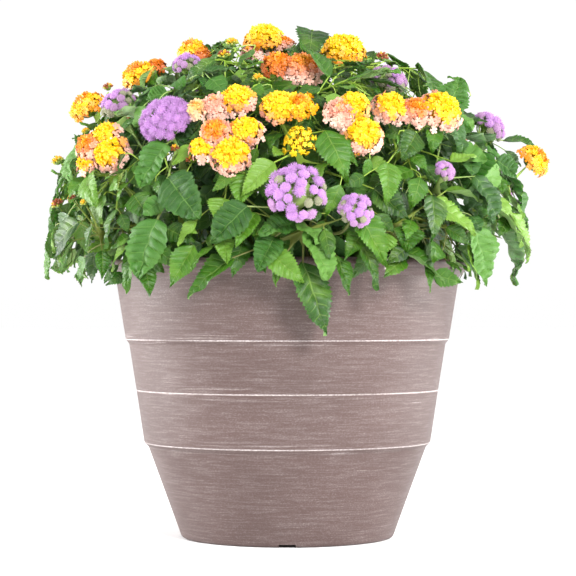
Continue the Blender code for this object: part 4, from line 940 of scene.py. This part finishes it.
def stem_finish(name, low, high):
    """A stalk's skin: woody and dark near the soil, fresh green towards the flowers."""
    skin = Finish(name, Roughness=0.55, Subsurface_Weight=0.05, **THIN_GREEN)
    height = skin.split(skin.place())[2]
    streaks = skin.noise(skin.stretched((300, 300, 40)), 1.0)
    share = skin.plus(skin.between(height, 0.27, 0.42), skin.times(streaks, 0.35))
    colour = skin.mix(skin.less(share, 0.15), low, high)
    return skin.finish(colour, None, streaks, 0.3, 0.0006)


def petal_finish(name, roughness, sheen, grain):
    """Petals or threads, coloured point by point as the flower grows, with a soft mottle."""
    skin = Finish(name, Roughness=roughness, Sheen_Weight=sheen, Subsurface_Weight=0.10, **THIN_PETAL)
    mottle = skin.noise(skin.place(), grain, 3.0)
    shade = skin.mix(mottle, (0.74, 0.71, 0.72), (0.97, 0.94, 0.93))
    colour = skin.mix(1.0, skin.attribute("tint", "Color"), shade, "MULTIPLY")
    return skin.finish(colour, None, mottle, 0.2, 0.0004)


def resin_finish():
    """Mauve-brown resin with a brushed whitewash: faint lines and grain, long strokes, worn white steps, and
    a painted shaded line along the groove at the rim's lower edge.
    """
    skin = Finish("whitewashed resin", Specular_IOR_Level=0.30)
    across, ahead, height = skin.split(skin.place())
    patches = skin.noise(skin.stretched((9, 9, 16)), 1.0, 3.0)
    lines = skin.noise(skin.stretched((30, 30, 560)), 1.0, 3.0, 0.65)
    strokes = skin.noise(skin.stretched((8, 8, 330)), 1.0, 4.0, 0.6)
    grain = skin.noise(skin.stretched((640, 640, 1200)), 1.0, 2.0, 0.7)
    broken = skin.plus(skin.times(skin.between(grain, 0.38, 0.62), 0.7), 0.3)
    faint = skin.times(skin.between(lines, 0.40, 0.76), skin.plus(skin.times(broken, 0.08), 0.02))
    speckle = skin.times(skin.between(grain, 0.50, 0.70), skin.plus(skin.times(patches, 0.10), 0.015))
    wash = skin.plus(faint, speckle)
    for edge in STEP_HEIGHTS:
        off = skin.apart(height, edge + STEP_SLOPE / 2)
        near = skin.times(skin.between(off, 0.010, 0.002), skin.between(strokes, 0.54, 0.70))
        worn = skin.times(skin.between(off, 0.0010, 0.0003), skin.between(strokes, 0.10, 0.62))
        wash = skin.most(wash, skin.times(skin.times(near, broken), 0.42))
        wash = skin.most(wash, skin.times(skin.times(worn, broken), 0.80))
    drawn = skin.times(skin.between(strokes, 0.64, 0.78), broken)
    wash = skin.most(wash, skin.times(drawn, 0.32))
    aside = skin.between(skin.apart(across, CHIP[0]), 0.0034, 0.0028)
    level = skin.between(skin.apart(height, CHIP[1]), 0.0060, 0.0052)
    chip = skin.times(skin.times(aside, level), skin.between(ahead, 0.0, -0.1))
    wash = skin.most(wash, skin.times(chip, skin.between(grain, 0.42, 0.56)))
    tone = skin.mix(patches, srgb(74, 58, 55), srgb(88, 70, 67))
    # Painted shade: a darker line along the groove at the rim's lower edge
    groove = skin.between(skin.apart(height, GROOVE_HEIGHT), 0.0009, 0.0003)
    colour = skin.mix(wash, tone, srgb(222, 212, 210))
    colour = skin.mix(skin.times(groove, 0.6), colour, srgb(70, 54, 52))
    rough = skin.plus(skin.times(wash, 0.25), 0.50)
    relief = skin.plus(wash, skin.times(lines, 0.5))
    return skin.finish(colour, rough, relief, 0.3, 0.0004)


def soil_finish():
    """Dark, loose potting mix with bark and a few pale grains."""
    skin = Finish("potting mix", Roughness=0.95, Specular_IOR_Level=0.2)
    where = skin.place()
    lumps = skin.noise(where, 160.0, 5.0, 0.7)
    pale = skin.between(skin.noise(where, 900.0, 2.0), 0.68, 0.74)
    colour = skin.mix(lumps, srgb(28, 20, 14), srgb(92, 68, 48))
    colour = skin.mix(skin.times(pale, 0.6), colour, srgb(176, 160, 138))
    return skin.finish(colour, None, lumps, 0.8, 0.003)


# The pot and its soil


def rounded(corners, steps=4):
    """A section's points with each corner (radius, height, rounding) turned into a small arc."""
    points = []
    for i, (x, z, size) in enumerate(corners):
        here = Vector((x, z))
        if size == 0:
            points.append(here)
            continue
        before = Vector(corners[i - 1][:2]) - here
        after = Vector(corners[i + 1][:2]) - here
        reach = min(size, before.length * 0.48, after.length * 0.48)
        start, end = here + before.normalized() * reach, here + after.normalized() * reach
        for k in range(steps + 1):
            t = k / steps
            points.append(start * (1 - t) ** 2 + here * (2 * t * (1 - t)) + end * t ** 2)
    return points


def turned(section, segments):
    """A closed solid turned round Z from a section that starts and ends on the axis, as points and faces."""
    angles = [math.tau * k / segments for k in range(segments)]
    points = [(0, 0, section[0][1])]
    for radius, height in section[1:-1]:
        points += [(radius * math.sin(a), -radius * math.cos(a), height) for a in angles]
    points.append((0, 0, section[-1][1]))
    rings = len(section) - 2
    faces = []
    for k in range(segments):
        n = (k + 1) % segments
        faces.append((0, 1 + n, 1 + k))
        for ring in range(rings - 1):
            a, b = 1 + ring * segments + k, 1 + ring * segments + n
            faces.append((a, b, b + segments, a + segments))
        low = 1 + (rings - 1) * segments
        faces.append((low + k, low + n, len(points) - 1))
    return points, faces


def pot_section():
    """The pot's outline from the middle of its foot up the outside, over the rim and down the inside."""
    corners = [(0, 0, 0), (FOOT_RADIUS, 0, 0.004)]
    for height, radius, depth in zip(STEP_HEIGHTS, STEP_RADII, STEP_DEPTHS):
        soft = min(0.0015, depth)
        corners += [(radius - depth, height - STEP_SLOPE / 2, soft), (radius, height + STEP_SLOPE / 2, soft)]
    lower = STEP_RADII[0] - STEP_DEPTHS[0] - WALL - 0.001
    corners += [
        (NECK_RADIUS, NECK_HEIGHT, 0.0012), (RIM_RADIUS - 0.004, NECK_HEIGHT + 0.006, 0.003),
        (RIM_RADIUS, 0.285, 0.003), (RIM_RADIUS - 0.003, 0.290, 0.003),
        (NECK_RADIUS - WALL + 0.003, 0.283, 0.003), (NECK_RADIUS - WALL - 0.0005, NECK_HEIGHT - 0.002, 0.002),
        (lower, STEP_HEIGHTS[0], 0.004), (FOOT_RADIUS - WALL, FLOOR_TOP, 0.003), (0, FLOOR_TOP, 0),
    ]
    return rounded(corners)


def build_pot(finish):
    """The pot, turned finely, with its foot notches and drains cut."""
    piece = Piece("pot_turned")
    piece.add(*turned(pot_section(), POT_SEGMENTS))
    pot = piece.build([finish])
    cutters = bmesh.new()
    for k in range(FOOT_HOLES):
        angle = math.tau * k / FOOT_HOLES - math.pi / 2
        notch = Matrix.Translation((FOOT_RADIUS, 0, 0)) @ Matrix.Diagonal((*NOTCH, 1))
        bmesh.ops.create_cube(cutters, size=1.0, matrix=Matrix.Rotation(angle, 4, "Z") @ notch)
        angle += math.pi / FOOT_HOLES
        bmesh.ops.create_cone(
            cutters, cap_ends=True, segments=24, radius1=DRAIN_RADIUS, radius2=DRAIN_RADIUS, depth=0.05,
            matrix=Matrix.Rotation(angle, 4, "Z") @ Matrix.Translation((DRAIN_RING, 0, 0)))
    data = bpy.data.meshes.new("cutters")
    cutters.to_mesh(data)
    cutters.free()
    tool = bpy.data.objects.new("cutters", data)
    bpy.context.scene.collection.objects.link(tool)
    cut = pot.modifiers.new("Boolean", "BOOLEAN")
    cut.operation = "DIFFERENCE"
    cut.object = tool
    graph = bpy.context.evaluated_depsgraph_get()
    graph.update()
    made = bpy.data.meshes.new_from_object(pot.evaluated_get(graph))
    pot.modifiers.clear()
    pot.data = made
    pot.data.shade_smooth()
    pot.data.set_sharp_from_angle(angle=math.radians(40))
    bpy.data.objects.remove(tool)
    return pot


def soil_height(x, y):
    """The height of the mounded soil here."""
    return SOIL_TOP + SOIL_MOUND * max(0.0, 1 - math.hypot(x, y) / 0.15)


def build_soil(finish):
    """The potting mix: its plug, with an uneven top and loose crumbs."""
    rng = random.Random(5)
    low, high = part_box("potting_mix")
    foot = FOOT_RADIUS - WALL - 0.001
    section = [(0, low.z), (foot, low.z), (0.139, STEP_HEIGHTS[0]), (high.x, SOIL_TOP)]
    rings = 26
    section += [(high.x * (1 - i / rings), 0) for i in range(1, rings)] + [(0, 0)]
    points, faces = turned(section, 96)
    points = [Vector(p) for p in points]
    for point in points:
        if point.z == 0 or math.hypot(point.x, point.y) < 1e-9 and point.z < 0.001:
            point.z = soil_height(point.x, point.y) - 0.0015 + rng.uniform(-0.0016, 0.0016)
    points[0].z = low.z
    piece = Piece("soil_bed")
    piece.add(points, faces)
    for _ in range(600):
        angle, reach = rng.uniform(0, math.tau), (high.x - 0.004) * math.sqrt(rng.random())
        x, y = reach * math.cos(angle), reach * math.sin(angle)
        size = rng.uniform(0.0010, 0.0030)
        mesh = bmesh.new()
        bmesh.ops.create_icosphere(mesh, subdivisions=1, radius=size)
        squash = Vector((rng.uniform(0.6, 1.4), rng.uniform(0.6, 1.4), rng.uniform(0.5, 0.9)))
        centre = Vector((x, y, soil_height(x, y) - 0.0008))
        crumb = [centre + v.co * squash * rng.uniform(0.8, 1.2) for v in mesh.verts]
        piece.add(crumb, [tuple(v.index for v in face.verts) for face in mesh.faces])
        mesh.free()
    return piece.build([finish])


# The plants


@dataclass
class Plant:
    """A leafy stem: its node's name, its kind, its fine piece and its bark to grow leaves from."""

    name: str
    kind: str
    piece: Piece
    bark: BVHTree


class Crowd:
    """What is in the way of a new leaf: the frame's solids, and the small leaves placed so far."""

    def __init__(self):
        points, faces = [], []
        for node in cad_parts.values():
            start = len(points)
            points += [v.co.copy() for v in node.data.vertices]
            faces += [tuple(start + i for i in face.vertices) for face in node.data.polygons]
        self.trees = [BVHTree.FromPolygons(points, faces)]
        self.points, self.faces = [], []
        self.waiting = []

    def hits(self, points, faces):
        """Whether a shape cuts anything here."""
        tree = BVHTree.FromPolygons(points, faces)
        return any(tree.overlap(other) for other in self.trees + self.waiting)

    def add(self, points, faces):
        """Adds a shape. The newest shapes wait in trees of their own until a batch is full."""
        start = len(self.points)
        self.points += points
        self.faces += [tuple(start + i for i in face) for face in faces]
        self.waiting.append(BVHTree.FromPolygons(points, faces))
        if len(self.waiting) == TREE_BATCH:
            self.trees = [self.trees[0], BVHTree.FromPolygons(self.points, self.faces)]
            self.waiting = []


def plain_blade(leaf):
    """A small leaf as a few flat faces, to test whether there is room for it."""
    points = []
    side = leaf.along.cross(leaf.up)
    bend = leaf.length / leaf.arch
    for u, wide in ((0.0, 0.1), (0.3, 1.0), (0.65, 0.8), (1.0, 0.05)):
        turn = leaf.arch * u
        middle = leaf.base + leaf.along * (bend * math.sin(turn)) - leaf.up * (bend * (1 - math.cos(turn)))
        up_here = leaf.up * math.cos(turn) + leaf.along * math.sin(turn)
        for sign in (-1, 1):
            out = sign * wide * leaf.width / 2
            rise = up_here * abs(out) * math.sin(leaf.fold)
            points.append(middle + side * out * math.cos(leaf.fold) + rise)
    return points, [(2 * i, 2 * i + 1, 2 * i + 3, 2 * i + 2) for i in range(3)]


def grow_small_leaves(plants, crowd, heads):
    """Fills the crown with small leaves on fine petioles, each from the nearest stem, clear of all else."""
    for share, low, high, count in LEAF_LAYERS:
        for i in range(count):
            rng = random.Random(round(share * 1000) * 10000 + i)
            height = low + (high - low) * (i + 0.5) / count
            for attempt in range(LEAF_ATTEMPTS):
                bearing = math.degrees(GOLDEN_ANGLE) * i + 60 * share + rng.uniform(-5, 5) * attempt
                middle = crown_at(bearing, height + rng.uniform(-0.004, 0.004) * attempt, share)
                if middle.x > THIN_SIDE and middle.z < THIN_SIDE_TOP:
                    continue
                level = Vector((middle.x, middle.y, 0)).normalized()
                face = (outward(middle) * 0.7 + level * 0.35 + UP * 0.35).normalized()
                face = (face + Vector([rng.uniform(-0.75, 0.75) for _ in range(3)])).normalized()
                ahead = square_to(level * 0.4 - UP * 0.8, face)
                ahead = Matrix.Rotation(rng.uniform(-1.2, 1.2), 3, face) @ ahead
                length = rng.uniform(0.026, 0.046) * (1 - 0.04 * attempt)
                base = middle - ahead * length * 0.45
                grid = SMALL_GRID if share > OUTER_SHARE else INNER_GRID
                if grow_leaf(plants, crowd, heads, base, ahead, face, length, grid, rng):
                    break


def grow_shown_leaves(plants, crowd):
    """Adds the leaves that the photograph shows alone at the crown's outline, each on the nearest stem."""
    for i, (*shown, middle) in enumerate(SHOWN_LEAVES):
        for step in range(DEPTH_ATTEMPTS):
            depth = middle + DEPTH_STEP * ((step + 1) // 2) * (-1) ** step
            scale = METRES_PER_PIXEL * (depth - EYE.y) / -EYE.y
            base, tip = (
                Vector(((column - AXIS_COLUMN) * scale, depth, EYE.z + (HORIZON_ROW - row) * scale))
                for column, row in (shown[:2], shown[2:]))
            ahead = (tip - base).normalized()
            face = square_to(Vector((0.1, -0.55, 1.0)), ahead)
            length = (tip - base).length * 1.04
            if grow_leaf(plants, crowd, [], base, ahead, face, length, SMALL_GRID, random.Random(i), -0.03):
                break


def hides_bloom(middle, length, heads):
    """Whether a leaf here would stand before a head, as seen from straight outside or from the side."""
    for head in heads:
        for way in head.seen_from:
            off = middle - head.centre
            along = off.dot(way)
            if 0 < along < 0.15 and (off - way * along).length < head.radius + 0.22 * length:
                return True
    return False


def grow_leaf(plants, crowd, heads, base, ahead, face, length, grid, rng, least=0.002):
    """Grows one small leaf if a stem is near and nothing is in the way, and says whether it did.

    The stem is at least this far behind the leaf's base.
    """
    if (base + ahead * length).z < LOWEST_TIP or hides_bloom(base + ahead * length * 0.5, length, heads):
        return False
    near = []
    for plant in plants:
        spot, _, _, away = plant.bark.find_nearest(base - ahead * 0.012)
        if away is not None:
            near.append((away, plant.name, spot, plant))
    away, _, root, plant = min(near, key=lambda item: item[:2])
    if away > PETIOLE_REACH or (base - root).dot(ahead) < least:
        return False
    arch = rng.uniform(0.25, 0.9)
    lean = Matrix.Rotation(arch / 2, 3, ahead.cross(face))
    width = length * (0.56 if plant.kind == "lantana" else 0.74)
    leaf = Leaf(plant.kind, base, lean @ ahead, lean @ face, length, width, arch, rng.uniform(0.05, 0.30))
    points, faces = plain_blade(leaf)
    if crowd.hits(points, faces):
        return False
    start, *rest = curved(root, base, leaf.along)
    clear = start.lerp(rest[0], min(0.9, 0.003 / max((rest[0] - start).length, 1e-6)))
    twig, twig_faces = tube([clear, *rest], [0.0005] * 4, 3)
    if crowd.hits(twig, twig_faces):
        return False
    crowd.add(points, faces)
    crowd.add(twig, twig_faces)
    add_blade(plant.piece, leaf, grid, rng)
    sunk = start - (rest[0] - start).normalized() * 0.0008
    end = leaf.base + leaf.along * length * 0.03
    points, faces = tube([sunk, *rest, end], (0.0007, 0.0006, 0.0006, 0.0006, 0.0005), 3)
    plant.piece.add(points, faces, 2)
    return True


def curved(start, end, arrive):
    """Four points of a petiole from a stem to a blade, turning into the blade's own way."""
    reach = (end - start).length
    knee = end - arrive * reach * 0.35 + UP * reach * 0.05
    return [start * (1 - t) ** 2 + knee * (2 * t * (1 - t)) + end * t ** 2 for t in (0, 0.34, 0.68, 1)]


def smooth_bark(mesh):
    """A stem's faces, swollen a little and subdivided, so that its square branches come out round."""
    mesh.normal_update()
    moves = [(vertex, vertex.normal * 0.00035) for vertex in mesh.verts]
    for vertex, move in moves:
        vertex.co += move
    data = bpy.data.meshes.new("bark")
    mesh.to_mesh(data)
    shape = bpy.data.objects.new("bark", data)
    bpy.context.scene.collection.objects.link(shape)
    smooth = shape.modifiers.new("Subdivision", "SUBSURF")
    smooth.levels = smooth.render_levels = 1
    graph = bpy.context.evaluated_depsgraph_get()
    graph.update()
    made = bpy.data.meshes.new_from_object(shape.evaluated_get(graph))
    points = [v.co.copy() for v in made.vertices]
    faces = [tuple(face.vertices) for face in made.polygons]
    bpy.data.objects.remove(shape)
    return points, faces


def read_plant(name):
    """A leafy stem of the frame, with its fine piece begun: its bark, blades and buds.

    Each blade is folded a little more than in the frame, and an ageratum blade is a little narrower.
    """
    kind = name.split("_")[0]
    mesh = welded(name)
    rng = random.Random(name)
    piece = Piece("leafy_" + name)
    gone = set()
    for vertex in mesh.verts:
        leaf = read_blade(vertex, kind)
        if leaf:
            gone |= blade_vertices(vertex, leaf)
            leaf.fold += rng.uniform(0.0, 0.30)
            leaf.width *= 1.0 if kind == "lantana" else 0.92
            add_blade(piece, leaf, LARGE_GRID, rng)
        bud = read_bud(vertex)
        if bud:
            gone |= bud[3]
            add_bud(piece, *bud[:3], rng)
    bmesh.ops.delete(mesh, geom=list(gone), context="VERTS")
    bark = BVHTree.FromBMesh(mesh)
    points, faces = smooth_bark(mesh)
    mesh.free()
    piece.add(points, faces, 2)
    return Plant(name, kind, piece, bark)


def bloom_heads(name):
    """The heads of a bloom node, each with its colouring."""
    if name.startswith("ageratum"):
        return [read_pompom_head(name)]
    mesh = welded(name)
    heads = read_heads(mesh)
    mesh.free()
    rng = random.Random(name)
    for head in heads:
        shown = Vector((*shown_at(head.centre), head.radius / METRES_PER_PIXEL))
        nearest = min(HEAD_COLOURS, key=lambda seen: (Vector(seen[:3]) - shown).length)
        head.colouring = rng.choice(BACK_COLOURS) if "_back_" in name else nearest[3]
    return heads


def build_plants():
    """The leafy stems with their small leaves, and the blooms, each in the place of its node."""
    green, pale, blue, blue_pale = (leaf_finish(name, *skin) for name, skin in LEAF_SKINS.items())
    bark = stem_finish("lantana stem", srgb(84, 80, 32), srgb(140, 172, 58))
    bark_blue = stem_finish("ageratum stem", srgb(88, 84, 44), srgb(136, 166, 84))
    petals = petal_finish("lantana petals", 0.50, 0.0, 900.0)
    threads = petal_finish("ageratum threads", 0.80, 0.25, 700.0)
    finishes = {"lantana": [green, pale, bark, petals], "ageratum": [blue, blue_pale, bark_blue, petals]}
    plants = [read_plant(name) for name in sorted(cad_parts) if "_stem_" in name]
    blooms = {name: bloom_heads(name) for name in sorted(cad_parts) if "_bloom_" in name}
    crowd = Crowd()
    grow_shown_leaves(plants, crowd)
    grow_small_leaves(plants, crowd, [head for heads in blooms.values() for head in heads])
    for plant in plants:
        made = plant.piece.build(finishes[plant.kind])
        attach(made, "root")
        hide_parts(plant.name)
    for name, heads in blooms.items():
        rng = random.Random(name)
        piece = Piece("fine_" + name)
        for head in heads:
            if name.startswith("lantana"):
                add_lantana_head(piece, head, rng)
            else:
                add_ageratum_head(piece, head, OPENNESS[name.split("_bloom_")[1]], rng)
        made = piece.build([petals, bark] if name.startswith("lantana") else [threads, bark_blue])
        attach(made, "root")
        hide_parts(name)


def build_vessel():
    """The pot and its soil, in the places of their nodes."""
    pot = build_pot(resin_finish())
    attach(pot, "root")
    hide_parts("pot")
    soil = build_soil(soil_finish())
    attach(soil, "root")
    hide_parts("potting_mix")


def build_stage():
    """A plain pale floor, a white sky, three soft lights, and the photograph's camera."""
    floor = Piece("floor")
    corners = [(x * FLOOR_REACH, y * FLOOR_REACH, 0) for x, y in ((-1, -1), (1, -1), (1, 1), (-1, 1))]
    floor.add(corners, [(0, 1, 2, 3)])
    paint = Finish("pale floor", Base_Color=(*[FLOOR_TONE] * 3, 1.0), Roughness=0.9, Specular_IOR_Level=0.1)
    floor.build([paint.material])
    for name, place, size, power in LIGHTS:
        light = bpy.data.lights.new(name, "AREA")
        light.size = size
        light.energy = power
        lamp = bpy.data.objects.new(name, light)
        lamp.location = place
        lamp.rotation_euler = (Vector(place) - LIGHT_TARGET).to_track_quat("Z", "Y").to_euler()
        bpy.context.scene.collection.objects.link(lamp)
    world = bpy.data.worlds.new("studio")
    world.use_nodes = True
    tree = world.node_tree
    backdrop = tree.nodes["Background"]
    backdrop.inputs[0].default_value = (1.0, 1.0, 1.0, 1.0)
    way = tree.nodes.new("ShaderNodeTexCoord")
    split = tree.nodes.new("ShaderNodeSeparateXYZ")
    strength = tree.nodes.new("ShaderNodeMapRange")
    strength.inputs["To Min"].default_value, strength.inputs["To Max"].default_value = SKY
    tree.links.new(way.outputs["Generated"], split.inputs[0])
    tree.links.new(split.outputs[2], strength.inputs["Value"])
    tree.links.new(strength.outputs[0], backdrop.inputs[1])
    bpy.context.scene.world = world
    bpy.context.scene.view_settings.view_transform = "Standard"
    camera = bpy.data.cameras.new("camera")
    camera.lens = LENS
    camera.sensor_width = 36
    eye = bpy.data.objects.new("camera", camera)
    eye.location = EYE
    eye.rotation_euler = (math.radians(EYE_PITCH), 0, 0)
    bpy.context.scene.collection.objects.link(eye)
    bpy.context.scene.camera = eye


build_vessel()
build_plants()
build_stage()

bpy.context.view_layer.update()
